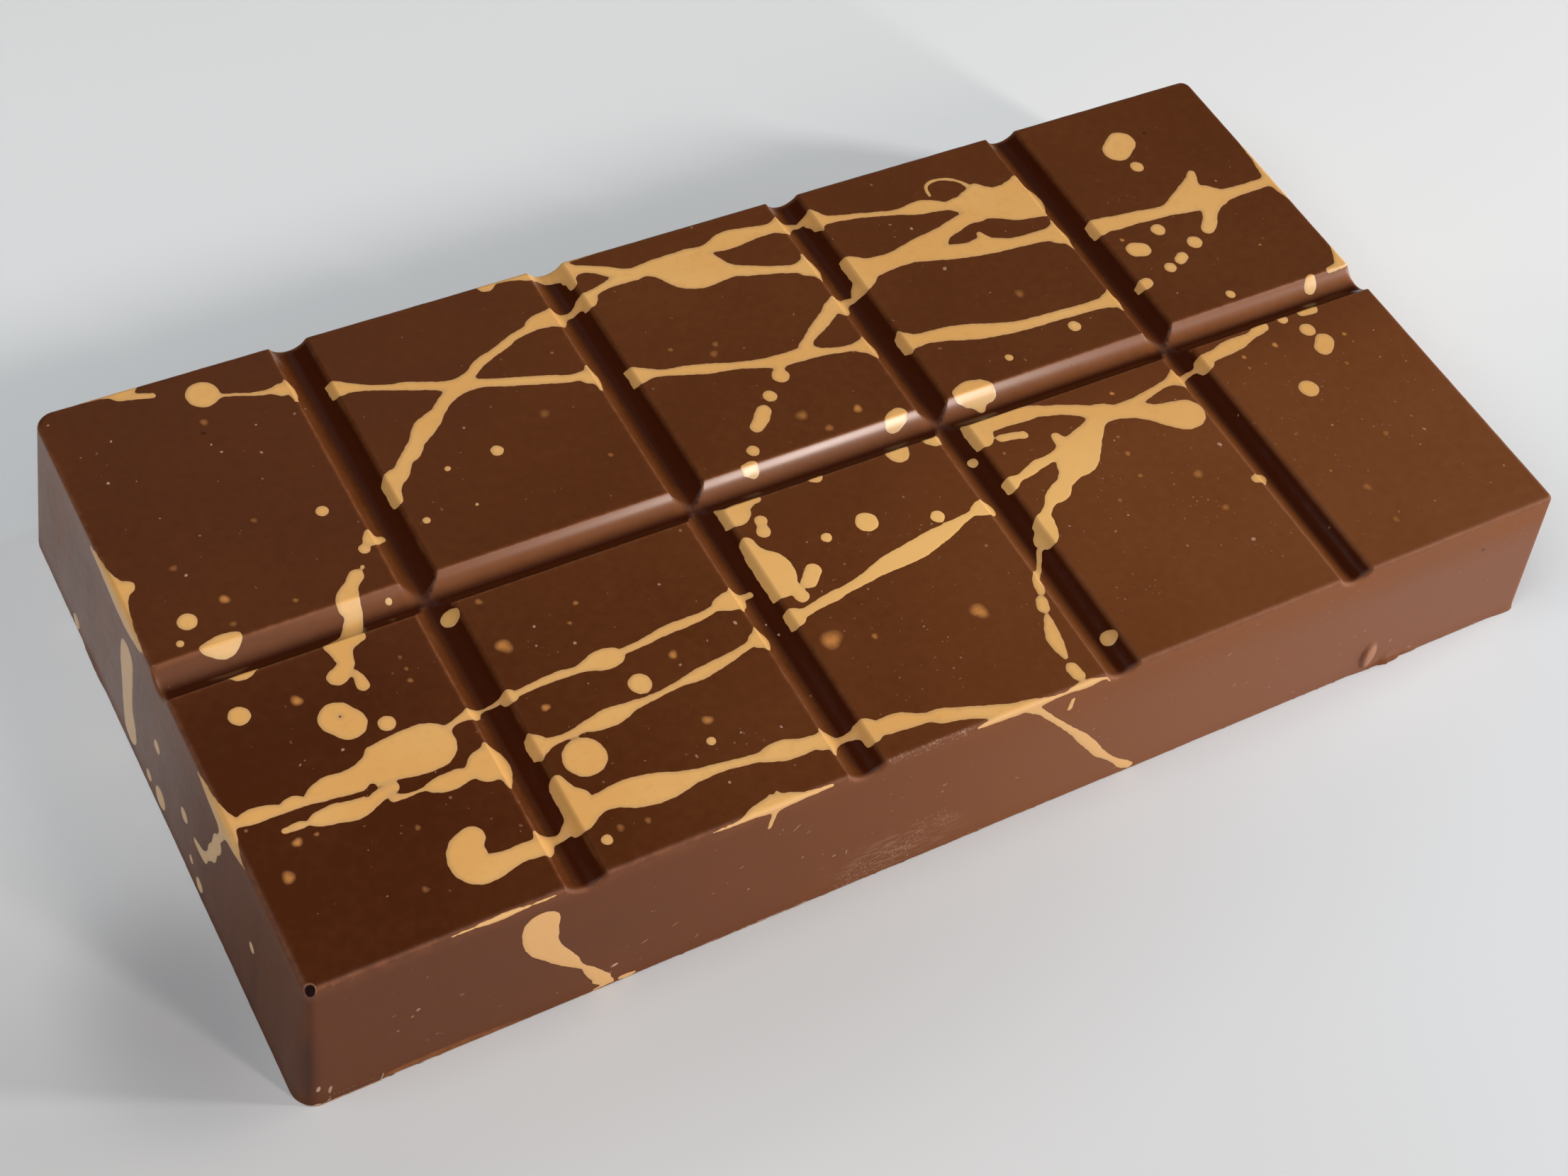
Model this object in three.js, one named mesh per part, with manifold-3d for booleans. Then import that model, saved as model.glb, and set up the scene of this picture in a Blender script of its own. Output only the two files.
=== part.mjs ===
// A moulded milk chocolate bar: one solid block, five pieces long and two deep, marked out by
// shallow rounded grooves that run out through its edges. Millimetres, +Z up. The origin is the
// middle of the flat base, +X runs along the bar and +Y across it, away from the front face.

import * as THREE from "three";
import { mergeVertices } from "three/addons/utils/BufferGeometryUtils.js";
import Module from "manifold-3d";

// --- driving dimensions ---------------------------------------------------------------------

const PIECES_LONG = 5;            // pieces along the bar
const PIECES_DEEP = 2;            // pieces across it
const PITCH = 30;                 // from one cross groove to the next
const ROW_PITCH = 38;             // from one lengthwise groove to the next, if there were more

const HEIGHT = 19.1;              // flat base to flat top
const TOP_LENGTH = 144.8;
const TOP_WIDTH = 72.6;
const BASE_LENGTH = 148.3;        // the walls lean out towards the base, so the mould lets go
const BASE_WIDTH = 75.6;

const GROOVE_WIDTH = 4.15;        // rim to rim
const GROOVE_DEPTH = 1.3;         // a shallow arc
const GROOVE_STEPS = 12;          // flats along the arc
const GROOVE_CLEARANCE = 3;       // how far a groove cutter stands past the bar

const RIM_RADIUS = 0.45;          // rounding of the top's outer edge
const RIM_STEPS = 3;
const FOOT_HEIGHT = 0.9;          // the uneven lip that scraping the mould leaves round the base
const FOOT_RELIEF = 0.22;         // how far that lip wanders in and out
const FOOT_EDGE = 0.25;           // softened edge under the lip

// Vertical corners, as [radius at the base, radius at the top], in ring order from the front
// right corner anticlockwise seen from above.
const CORNERS = {
  frontRight: [1.0, 0.7],
  backRight: [1.8, 1.2],
  backLeft: [3.0, 2.0],
  frontLeft: [3.2, 1.0],
};
const CORNER_STEPS = 5;           // flats round each corner
const SIDE_STEP = 3.1;            // spacing of the points along each side

// Small losses, each a scoop taken out of the front face or its left corner: the scoop's centre,
// its half sizes along X, Y and Z, and how far it leans about Y, in degrees.
const LOSSES = [
  { at: [-71.9, -36.0, 19.1], half: [0.5, 0.75, 0.7], lean: 0 },       // blown bubble in the top
  { at: [51.7, -38.3, 2.7], half: [1.35, 1.2, 2.8], lean: -17 },       // long gouge low down
  { at: [-72.2, -37.8, 2.9], half: [0.25, 0.45, 0.7], lean: 0 },       // knocks by the corner
  { at: [-71.1, -37.95, 2.1], half: [0.25, 0.45, 0.9], lean: 0 },
];
const LOSS_DETAIL = 2;            // subdivisions of the scoop's icosahedron

// --- manifold-3d, for the cuts only ---------------------------------------------------------

const wasm = await Module();
wasm.setup();

// A three.js geometry as a solid that can be cut.
function toSolid(geometry) {
  const bare = geometry.index ? geometry.toNonIndexed() : geometry.clone();
  bare.deleteAttribute("normal");
  bare.deleteAttribute("uv");
  const merged = mergeVertices(bare, 1e-5);
  return new wasm.Manifold(new wasm.Mesh({
    numProp: 3,
    vertProperties: new Float32Array(merged.attributes.position.array),
    triVerts: new Uint32Array(merged.index.array),
  }));
}

// A solid back as a three.js geometry, with flat faces.
function toGeometry(solid) {
  const mesh = solid.getMesh();
  const geometry = new THREE.BufferGeometry();
  geometry.setAttribute("position", new THREE.BufferAttribute(mesh.vertProperties, 3));
  geometry.setIndex(new THREE.BufferAttribute(mesh.triVerts, 1));
  geometry.computeVertexNormals();
  return geometry;
}

// --- the leaning block ----------------------------------------------------------------------

// One closed outline of the block: straight sides and four rounded corners, pulled in by inset.
// lean runs from 0 at the base to 1 at the top. lip is how strongly the outline wanders. Every
// outline has the same number of points, so that neighbours join one to one.
function outline(lean, inset, lip) {
  const halfLength = THREE.MathUtils.lerp(BASE_LENGTH, TOP_LENGTH, lean) / 2 - inset;
  const halfWidth = THREE.MathUtils.lerp(BASE_WIDTH, TOP_WIDTH, lean) / 2 - inset;
  const signs = [[1, -1], [1, 1], [-1, 1], [-1, -1]];
  const corners = Object.values(CORNERS).map(([base, top], i) => {
    const radius = Math.max(THREE.MathUtils.lerp(base, top, lean) - inset, 0.15);
    const x = signs[i][0] * (halfLength - radius);
    const y = signs[i][1] * (halfWidth - radius);
    return { x, y, radius, from: (i - 1) * Math.PI / 2 };
  });
  const points = [];
  corners.forEach((corner, i) => {
    const arc = [];
    for (let k = 0; k <= CORNER_STEPS; k++) {
      const angle = corner.from + (k / CORNER_STEPS) * Math.PI / 2;
      arc.push(new THREE.Vector2(
        corner.x + corner.radius * Math.cos(angle),
        corner.y + corner.radius * Math.sin(angle),
      ));
    }
    points.push(...arc);
    const next = corners[(i + 1) % corners.length];
    const end = new THREE.Vector2(
      next.x + next.radius * Math.cos(next.from),
      next.y + next.radius * Math.sin(next.from),
    );
    const sideLength = i % 2 === 0 ? BASE_WIDTH : BASE_LENGTH;
    const steps = Math.round(sideLength / SIDE_STEP);
    for (let k = 1; k < steps; k++) {
      points.push(arc[CORNER_STEPS].clone().lerp(end, k / steps));
    }
  });
  return points.map((point, i) => {
    const wander = lip * FOOT_RELIEF * lipWave(i / points.length);
    return point.clone().multiplyScalar(1 + wander / point.length());
  });
}

// The lip's wandering, -1 to 1, as a sum of three waves round the bar.
function lipWave(turn) {
  const angle = turn * 2 * Math.PI;
  return 0.45 * Math.sin(11 * angle + 0.6) + 0.35 * Math.sin(23 * angle + 2.1)
    + 0.2 * Math.sin(41 * angle + 4.4);
}

// The block's skin: outlines stacked from the base, over the lip, up the wall and round the rim.
function blockGeometry() {
  const leanAt = (z) => z / HEIGHT;
  const rings = [
    { z: 0, inset: FOOT_EDGE, lip: 1 },
    { z: FOOT_EDGE, inset: 0, lip: 1 },
    { z: FOOT_HEIGHT, inset: 0, lip: 0.5 },
    { z: 2 * FOOT_HEIGHT, inset: 0, lip: 0 },
  ];
  for (let k = 0; k <= RIM_STEPS; k++) {
    const angle = (k / RIM_STEPS) * Math.PI / 2;
    rings.push({
      z: HEIGHT - RIM_RADIUS + RIM_RADIUS * Math.sin(angle),
      inset: RIM_RADIUS * (1 - Math.cos(angle)),
      lip: 0,
    });
  }
  const positions = [];
  const index = [];
  const outlines = rings.map((ring) => outline(leanAt(ring.z), ring.inset, ring.lip));
  const count = outlines[0].length;
  rings.forEach((ring, r) => {
    outlines[r].forEach((point) => positions.push(point.x, point.y, ring.z));
  });
  const bottomCentre = rings.length * count;
  const topCentre = bottomCentre + 1;
  positions.push(0, 0, 0, 0, 0, HEIGHT);
  for (let k = 0; k < count; k++) {
    const next = (k + 1) % count;
    for (let r = 0; r < rings.length - 1; r++) {
      const low = r * count;
      const high = low + count;
      index.push(low + k, low + next, high + next, low + k, high + next, high + k);
    }
    const last = (rings.length - 1) * count;
    index.push(next, k, bottomCentre, last + k, last + next, topCentre);
  }
  const geometry = new THREE.BufferGeometry();
  geometry.setAttribute("position", new THREE.Float32BufferAttribute(positions, 3));
  geometry.setIndex(index);
  return geometry;
}

// --- grooves and losses ---------------------------------------------------------------------

// The tool that cuts one groove along +Z of its own frame: below, the arc through both rims and
// the groove's floor, and above, a plain box that stands clear of the bar.
function grooveGeometry(length) {
  const half = GROOVE_WIDTH / 2;
  const radius = (half * half + GROOVE_DEPTH * GROOVE_DEPTH) / (2 * GROOVE_DEPTH);
  const centre = radius - GROOVE_DEPTH;
  const rimAngle = Math.atan2(half, centre);
  const shape = new THREE.Shape();
  for (let k = 0; k <= GROOVE_STEPS; k++) {
    const angle = -rimAngle + (2 * rimAngle * k) / GROOVE_STEPS;
    const x = radius * Math.sin(angle);
    const y = centre - radius * Math.cos(angle);
    if (k === 0) shape.moveTo(x, y);
    else shape.lineTo(x, y);
  }
  shape.lineTo(half, GROOVE_CLEARANCE);
  shape.lineTo(-half, GROOVE_CLEARANCE);
  shape.closePath();
  const geometry = new THREE.ExtrudeGeometry(shape, { depth: length, bevelEnabled: false });
  geometry.translate(0, 0, -length / 2);
  geometry.rotateX(Math.PI / 2);
  return geometry.translate(0, 0, HEIGHT);
}

function cutGrooves(block) {
  let solid = block;
  for (let k = 1; k < PIECES_LONG; k++) {
    const cross = grooveGeometry(BASE_WIDTH + 2 * GROOVE_CLEARANCE);
    cross.translate((k - PIECES_LONG / 2) * PITCH, 0, 0);
    solid = solid.subtract(toSolid(cross));
  }
  for (let k = 1; k < PIECES_DEEP; k++) {
    const lengthwise = grooveGeometry(BASE_LENGTH + 2 * GROOVE_CLEARANCE);
    lengthwise.rotateZ(Math.PI / 2);
    lengthwise.translate(0, (k - PIECES_DEEP / 2) * ROW_PITCH, 0);
    solid = solid.subtract(toSolid(lengthwise));
  }
  return solid;
}

function cutLosses(block) {
  return LOSSES.reduce((solid, { at, half, lean }) => {
    const scoop = new THREE.IcosahedronGeometry(1, LOSS_DETAIL);
    scoop.scale(...half).rotateY(THREE.MathUtils.degToRad(lean)).translate(...at);
    return solid.subtract(toSolid(scoop));
  }, block);
}

// --- the part -------------------------------------------------------------------------------

const milkChocolate = new THREE.MeshStandardMaterial({
  color: 0x5a3018,
  roughness: 0.42,
  metalness: 0,
});

const bar = new THREE.Mesh(
  toGeometry(cutLosses(cutGrooves(toSolid(blockGeometry())))),
  milkChocolate,
);
bar.name = "bar";

const part = new THREE.Group();
part.add(bar);

export default part;
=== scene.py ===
import math

import bpy
import numpy as np
from mathutils import Matrix, Vector
from mathutils.geometry import delaunay_2d_cdt


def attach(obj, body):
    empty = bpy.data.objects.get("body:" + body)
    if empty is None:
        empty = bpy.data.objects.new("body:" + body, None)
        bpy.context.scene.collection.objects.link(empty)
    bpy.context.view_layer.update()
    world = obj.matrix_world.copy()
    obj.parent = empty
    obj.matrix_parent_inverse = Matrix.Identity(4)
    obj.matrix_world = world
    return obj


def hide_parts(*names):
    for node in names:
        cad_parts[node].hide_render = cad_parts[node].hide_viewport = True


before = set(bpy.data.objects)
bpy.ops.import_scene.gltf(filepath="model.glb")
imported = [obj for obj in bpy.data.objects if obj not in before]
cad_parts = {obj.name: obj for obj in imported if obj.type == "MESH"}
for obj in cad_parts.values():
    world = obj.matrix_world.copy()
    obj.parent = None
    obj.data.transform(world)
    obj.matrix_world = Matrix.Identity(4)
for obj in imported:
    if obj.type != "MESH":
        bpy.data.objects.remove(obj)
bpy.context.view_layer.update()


# --- The bar --------------------------------------------------------------------------------
# One block of milk chocolate, cast face down in a rigid mould that marks it into ten pieces with
# rounded grooves. Its walls lean out towards the underside, where scraping off the mould left a
# thin uneven lip. Lengths are in millimetres until a mesh is made.

HEIGHT = 19.1
TOP_HALF = (72.4, 36.3)            # half length and half width at the top
BASE_HALF = (74.15, 37.8)          # and at the base
CROSS_GROOVES = (-45.0, -15.0, 15.0, 45.0)
GROOVE_HALF, GROOVE_DEPTH = 2.075, 1.3
GROOVE_EASE = 0.32                 # how softly a groove's rims turn into the flat
MEET_HALF, MEET_LIFT = 0.16, 0.04  # how wide and deep the line where two grooves meet is eased
MEET_FROM = 0.3                    # the depth from which on it is
RIM = 0.45                         # rounding of the top's outer edge
RIM_TURNS = np.pi / 2 * np.arange(1, 7) / 6    # the mesh's steps round it
EDGE = (TOP_HALF[0] - RIM, TOP_HALF[1] - RIM)
FOOT = [edge + RIM * np.pi / 2 + HEIGHT - RIM for edge in EDGE]    # the walls' ends, unrolled
WALL_PLAIN = 16.0                  # below this height the walls no longer feel the grooves' ends
WALL_PARTS = (0.25, 0.6, 1.0)      # the mesh's steps down to it
END_ZONE = 3.0                     # where a groove's end shifts outwards as the wall leans
FLAT_STEP, FOOT_STEP = 1.05, 0.42  # the mesh's size on the flats and along the foot
CORNER_ZONE = 2.0                  # how far from a corner its rounding gathers the mesh
CORNERS = {                        # corner radius at the base and at the top
    (1, -1): (1.0, 0.75), (1, 1): (1.8, 1.2), (-1, 1): (3.0, 2.0), (-1, -1): (2.4, 0.95)}
LEAST_RADIUS = 0.03                # of a corner that is pulled in
SHARP = 42                         # edges that turn by more degrees than this stay sharp


def groove_depth(offset):
    """Depth of a groove at this distance from its middle: the arc through both rims and the
    floor, run on as a straight slope past the rims and eased into the flat."""
    radius = (GROOVE_HALF**2 + GROOVE_DEPTH**2) / (2 * GROOVE_DEPTH)
    away = np.abs(offset)
    arc = np.sqrt(radius**2 - np.minimum(away, GROOVE_HALF)**2) - (radius - GROOVE_DEPTH)
    arc -= np.maximum(away - GROOVE_HALF, 0) * GROOVE_HALF / (radius - GROOVE_DEPTH)
    near = np.clip(1 - np.abs(arc) / GROOVE_EASE, 0, 1)
    return np.maximum(arc, 0) + near**2 * GROOVE_EASE / 4


def top_depth(x, y):
    """Depth of the top's relief: the deeper of the cross grooves and the lengthwise one, with
    the line where two of them meet eased a little."""
    across = np.max([groove_depth(x - middle) for middle in CROSS_GROOVES], axis=0)
    along = groove_depth(y)
    meet = np.clip(1 - np.abs(across - along) / MEET_HALF, 0, 1)**2 * MEET_LIFT
    return np.maximum(across, along) + meet * np.clip(np.minimum(across, along) / MEET_FROM, 0, 1)


def half_size(z):
    """Half length and half width of the leaning block at height z."""
    up = z / HEIGHT
    return [base + (top - base) * up for base, top in zip(BASE_HALF, TOP_HALF)]


def skin(u, v):
    """The bar's skin unrolled flat. Within EDGE, (u, v) is the place on the top seen from above.
    Past it, the extra length runs round the rim and down that wall."""
    u, v = np.broadcast_arrays(np.asarray(u, float), np.asarray(v, float))
    on_top = [np.clip(u, -EDGE[0], EDGE[0]), np.clip(v, -EDGE[1], EDGE[1])]
    past = [np.abs(u) - EDGE[0], np.abs(v) - EDGE[1]]
    over = np.maximum(np.maximum(past[0], past[1]), 0)
    depth = top_depth(*on_top)
    turn = np.clip(over / RIM, 0, np.pi / 2)
    run = over - RIM * np.pi / 2
    start = HEIGHT - depth - RIM
    plain = HEIGHT - RIM - WALL_PLAIN
    z = np.where(run > 0,
                 np.where(run < plain, start + (WALL_PLAIN - start) * run / plain,
                          HEIGHT - RIM - run),
                 HEIGHT - depth - RIM * (1 - np.cos(turn)))
    inset = RIM * (1 - np.sin(turn))
    size = half_size(z)
    place = []
    for axis in (0, 1):
        flat = on_top[axis]
        lean = (BASE_HALF[axis] - TOP_HALF[axis]) / HEIGHT
        lean = (BASE_HALF[axis] - TOP_HALF[axis]) / HEIGHT
        near = np.clip((np.abs(flat) - EDGE[axis] + END_ZONE) / END_ZONE, 0, 1)**2
        shifted = flat + np.sign(flat) * lean * depth * near
        place.append(np.where(past[axis] > 0, np.sign(flat) * (size[axis] - inset), shifted))
    return np.stack([place[0], place[1], z], axis=-1)


def skin_normal(u, v):
    """The skin's outward normal, from the cross product of small steps along u and v."""
    step = 0.02
    du = skin(u + step, v) - skin(u - step, v)
    dv = skin(u, v + step) - skin(u, v - step)
    normal = np.cross(du, dv)
    return normal / np.linalg.norm(normal, axis=-1, keepdims=True)


def outline(u, v, z, inset):
    """Where the point (u, v) of the flat top's edge lies on the block's outline at height z,
    pulled in by inset. Points on the straights keep their place, and those within CORNER_ZONE
    of a corner share out its arc and what is left of the straights."""
    sx, sy = np.where(u < 0, -1, 1), np.where(v < 0, -1, 1)
    hx, hy = [size - inset for size in half_size(z)]
    radius = np.zeros(np.broadcast(u, z).shape)
    for (cx, cy), (base, top) in CORNERS.items():
        here = (sx == cx) & (sy == cy)
        rounded = np.maximum(base + (top - base) * z / HEIGHT - inset, LEAST_RADIUS)
        radius = np.where(here, rounded, radius)
    px, py = np.abs(u) - EDGE[0] + CORNER_ZONE, np.abs(v) - EDGE[1] + CORNER_ZONE
    ax, ay = hx - EDGE[0] + CORNER_ZONE, hy - EDGE[1] + CORNER_ZONE
    on_x = np.abs(u) > EDGE[0] - 1e-6
    from_tip = CORNER_ZONE - np.where(on_x, py, px)
    turn = np.pi / 4 * (1 - 2 * from_tip / CORNER_ZONE)
    rest = np.clip(2 - 2 * from_tip / CORNER_ZONE, 0, 1)
    far, side = np.where(on_x, ax, ay), np.where(on_x, ay, ax)
    curved = from_tip < CORNER_ZONE / 2
    far_at = np.where(curved, far - radius + radius * np.cos(turn), far)
    side_at = np.where(curved, side - radius + radius * np.sin(turn), (side - radius) * rest)
    corner = (px > 0) & (py > 0)
    x = np.where(corner, np.where(on_x, far_at, side_at) + EDGE[0] - CORNER_ZONE,
                 np.where(on_x, hx, np.abs(u)))
    y = np.where(corner, np.where(on_x, side_at, far_at) + EDGE[1] - CORNER_ZONE,
                 np.where(on_x, np.abs(v), hy))
    return sx * x, sy * y


def grid_lines(half, grooves):
    """Mesh lines from one edge of the top to the other: close together over every groove's rims
    and floor and in the corner zones, and evenly spread between them."""
    offsets = np.array([0, .3, .6, .9, 1.2, 1.45, 1.65, 1.8, 1.9, 1.97, 2.03, 2.09, 2.15, 2.22,
                        2.32, 2.5, 2.8])
    fixed = [-half + CORNER_ZONE * np.linspace(0, 1, 9), half - CORNER_ZONE * np.linspace(1, 0, 9)]
    fixed += [groove + np.concatenate((-offsets[:0:-1], offsets)) for groove in grooves]
    fixed = sorted(fixed, key=lambda lines: lines[0])
    lines = [fixed[0]]
    for before, after in zip(fixed, fixed[1:]):
        count = max(2, round((after[0] - before[-1]) / FLAT_STEP))
        lines += [np.linspace(before[-1], after[0], count + 1)[1:-1], after]
    return np.concatenate(lines)


def round_the_edge(xs, ys):
    """The edge points of a grid of lines, anticlockwise from the front right corner, and how far
    round each one is."""
    right = np.stack([np.full(len(ys) - 1, xs[-1]), ys[:-1]], 1)
    back = np.stack([xs[:0:-1], np.full(len(xs) - 1, ys[-1])], 1)
    left = np.stack([np.full(len(ys) - 1, xs[0]), ys[:0:-1]], 1)
    front = np.stack([xs[:-1], np.full(len(xs) - 1, ys[0])], 1)
    points = np.concatenate([right, back, left, front])
    gone = np.concatenate([right[:, 1] + EDGE[1],
                           2 * EDGE[1] + EDGE[0] - back[:, 0],
                           2 * EDGE[1] + 2 * EDGE[0] + EDGE[1] - left[:, 1],
                           4 * EDGE[1] + 2 * EDGE[0] + front[:, 0] + EDGE[0]])
    return points, gone


ROUND = 4 * (EDGE[0] + EDGE[1])    # once round the edge of the flat top


def wander(gone, wavelengths, seed):
    """An uneven line that closes on itself round the bar, about -1 to 1: one sine wave for each
    wavelength, a whole number of them round the bar, each with its own phase."""
    phases = np.random.default_rng(seed).uniform(0, 2 * np.pi, len(wavelengths))
    waves = [np.sin(2 * np.pi * round(ROUND / length) * gone / ROUND + phase)
             for length, phase in zip(wavelengths, phases)]
    return np.sum(waves, axis=0) / math.sqrt(len(wavelengths))


def band(low, high):
    """Four-sided faces between two rings of the same size, one above the other."""
    return np.stack([low, np.roll(low, -1), np.roll(high, -1), high], 1)


def zip_rings(low, low_gone, high, high_gone):
    """Triangles that join two rings of different sizes, taking their points in the order in
    which they come round the bar."""
    low_next, high_next = np.append(low_gone[1:], ROUND), np.append(high_gone[1:], ROUND)
    beside_low = np.searchsorted(high_next, low_next, side="right") % len(high)
    beside_high = np.searchsorted(low_next, high_next, side="left") % len(low)
    from_low = np.stack([low, np.roll(low, -1), high[beside_low]], 1)
    from_high = np.stack([low[beside_high], np.roll(high, -1), high], 1)
    return np.concatenate([from_low, from_high])


def ease(value, low, high):
    """0 below low and 1 above high, with a smooth step between them."""
    part = np.clip((value - low) / (high - low), 0, 1)
    return part * part * (3 - 2 * part)


def mix(first, second, part):
    """From first to second as part goes from 0 to 1."""
    return first + (second - first) * part


def from_cross_groove(x):
    """Distance from the middle of the nearest cross groove, below 0 on its left."""
    across = x - CROSS_GROOVES[0]
    for middle in CROSS_GROOVES[1:]:
        across = np.where(np.abs(x - middle) < np.abs(across), x - middle, across)
    return across


def lengthwise(x, y, low=0.0, high=0.25):
    """How far the lengthwise groove holds against the cross grooves, 0 to 1: 0 while it is deeper
    by less than low, and 1 where it is deeper by more than high."""
    return ease(groove_depth(y) - groove_depth(from_cross_groove(x)), low, high)


def past_edge(x, y):
    """How far a place lies past the edge of the flat top, and whether that is past an end."""
    past = np.abs(x) - EDGE[0], np.abs(y) - EDGE[1]
    return np.maximum(*past), past[0] > past[1]


def dust_light_and_shade(x, y, z):
    """How pale the skin is made, 0 to 1, partly by fine dusting and rubbing and partly as painted
    light: least at the front left of the top, more to the right of the front row, most on the walls.
    Below 0 it is painted shade: the grooves' floors and the sides that face left and back."""
    across = from_cross_groove(x)
    top = mix(0.56 * ease(x, -80, 60), 0.14 + 0.11 * ease(x, -60, 0), ease(y, -12, 4))
    # the cross grooves' left walls and the lengthwise groove's far side face the light and are made
    # paler: painted light
    top = top + 0.14 * ease(-across, 0.7, 1.3) * ease(groove_depth(across), 0.05, 0.4)
    far_side = lengthwise(x, y) * ease(y, -0.2, 1.2) * ease(-y, -2.5, -1.9)
    top = top + (0.2 + 0.3 * ease(x, -75, -35)) * far_side
    # painted shade: the grooves' floors and the sides that face left and back, away from the light
    groove_shade = np.where(groove_depth(across) > groove_depth(y),
                     ease(across, -0.75, 0.25), ease(-y, -0.35, 0.75))
    top = mix(top, -0.3, groove_shade * ease(HEIGHT - z, 0.12, 0.6))
    out, on_end = past_edge(x, y)
    # the walls: the front one paler to the right and the ends paler towards the back, partly dusting
    # and partly painted light
    wall = np.where(on_end, 0.3 + 0.3 * ease(y, -35, 25), 0.2 + 0.58 * ease(x, -75, 45))
    return mix(top, wall, ease(out, 0.0, 0.5) * ease(HEIGHT - z, 0.15, 0.5))


def polish(x, y, z):
    """How far the lengthwise groove's far side is polished, 0 to 1: most near its middle, and
    not where a cross groove cuts it off."""
    inside = ease(EDGE[0] + 0.3 - np.abs(x), 0.0, 0.3) * (z > HEIGHT - 1.6)
    far_side = lengthwise(x, y) * ease(y, -0.4, 1.0) * ease(-y, -2.3, -1.85)
    return inside * far_side * mix(0.03, 1, np.exp(-((x - 3) / 25)**2))


def dullness(x, y, top):
    """The skin's roughness: its value on the top, given, is brought down in the lengthwise
    groove, where that is polished. The front and back walls are the dullest, and the side walls
    grow duller towards the front. The creases where grooves meet are dull."""
    groove = 0.27 + 0.2 * (1 - np.exp(-((x - 3) / 28)**2)) + 0.12 * ease(-x, 48, 66)
    far_side = lengthwise(x, y, 0.05, 0.35) * ease(y, -0.5, 0.2) * ease(-y, -2.6, -2.0)
    along, across = groove_depth(y), groove_depth(from_cross_groove(x))
    crease = ease(-np.abs(along - across), -0.2, -0.08) * ease(np.minimum(along, across), 0.1, 0.3)
    out, on_end = past_edge(x, y)
    wall = np.where(on_end, 0.33 + 0.3 * ease(-y, -12, 32), 0.68)
    return mix(mix(mix(top, groove, far_side), 0.75, crease), wall, ease(out, -0.15, 0.2))


def rubbed_and_lit_edges(x, y, z):
    """Where edges are rubbed pale and given a painted highlight, 0 to 1: bell curves across the
    grooves' rims, fainter on the right of each cross groove, which faces away from the light, and
    across the top's outer edge."""
    def bell(offset):
        return np.exp(-(offset / 0.2)**2)

    across = from_cross_groove(x)
    rims = np.maximum(bell(np.abs(across) - GROOVE_HALF) * np.where(across < 0, 1.0, 0.25),
                      bell(np.abs(y) - GROOVE_HALF))
    outer = bell(past_edge(x, y)[0] - 0.3)
    return np.maximum(rims * (z > HEIGHT - 0.55), outer * (z > HEIGHT - 2))


def add_mesh(name, points, faces, smooth_angle=40):
    """A mesh object from points in millimetres and lists of faces, smooth except over edges
    sharper than the angle."""
    mesh = bpy.data.meshes.new(name)
    polygons = [tuple(face) for group in faces for face in np.asarray(group).tolist()]
    mesh.from_pydata((np.asarray(points) / 1000).tolist(), [], polygons)
    mesh.polygons.foreach_set("use_smooth", np.ones(len(polygons), bool))
    mesh.set_sharp_from_angle(angle=math.radians(smooth_angle))
    thing = bpy.data.objects.new(name, mesh)
    bpy.context.scene.collection.objects.link(thing)
    return thing


def store(thing, name, values):
    """One number on every point of a mesh, for its material to read."""
    layer = thing.data.attributes.new(name, "FLOAT", "POINT")
    layer.data.foreach_set("value", np.asarray(values, np.float32))


# Thin flakes of chocolate that scraping pressed out along the foot: how far round the bar, half
# length, how far out and how high.
FRONT_MIDDLE = 4 * EDGE[1] + 3 * EDGE[0]       # how far round the middle of the front lies
LIP_FLAKES = (
    (FRONT_MIDDLE + 52.6, 2.2, 0.16, 0.5), (FRONT_MIDDLE + 55.4, 1.3, 0.42, 0.8),
    (FRONT_MIDDLE + 58.2, 1.2, 0.14, 0.4), (FRONT_MIDDLE - 68.4, 2.9, 0.07, 0.75),
    (FRONT_MIDDLE + 71.0, 0.8, 0.16, 0.5), (2 * EDGE[1] + 0.7 * EDGE[0], 4.0, 0.2, 0.5),
    (2 * EDGE[1] + 1.6 * EDGE[0], 2.5, 0.18, 0.4), (0.8 * EDGE[1], 3.0, 0.2, 0.5),
    (2.5 * EDGE[1] + 2 * EDGE[0], 3.0, 0.16, 0.4),
)

# A long drip that stands out low on the front wall: its middle along X and Z, its half width and
# half length, its lean, and how far it stands out.
DRIP_AT, DRIP_HALF, DRIP_LEAN, DRIP_OUT = (51.7, 2.85), (1.1, 2.15), math.radians(4), 0.62


def drip(x, z):
    """How far the drip stands out at a place of the front wall: a dome over a leaning ellipse,
    fuller and so steeper on its left."""
    right, high = x - DRIP_AT[0], z - DRIP_AT[1]
    along = (high * math.cos(DRIP_LEAN) - right * math.sin(DRIP_LEAN)) / DRIP_HALF[1]
    across = (right * math.cos(DRIP_LEAN) + high * math.sin(DRIP_LEAN)) / DRIP_HALF[0]
    dome = np.clip(1 - across**2 - along**2, 0, 1)
    return dome**0.6 * (0.62 - 0.38 * across) * DRIP_OUT


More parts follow.
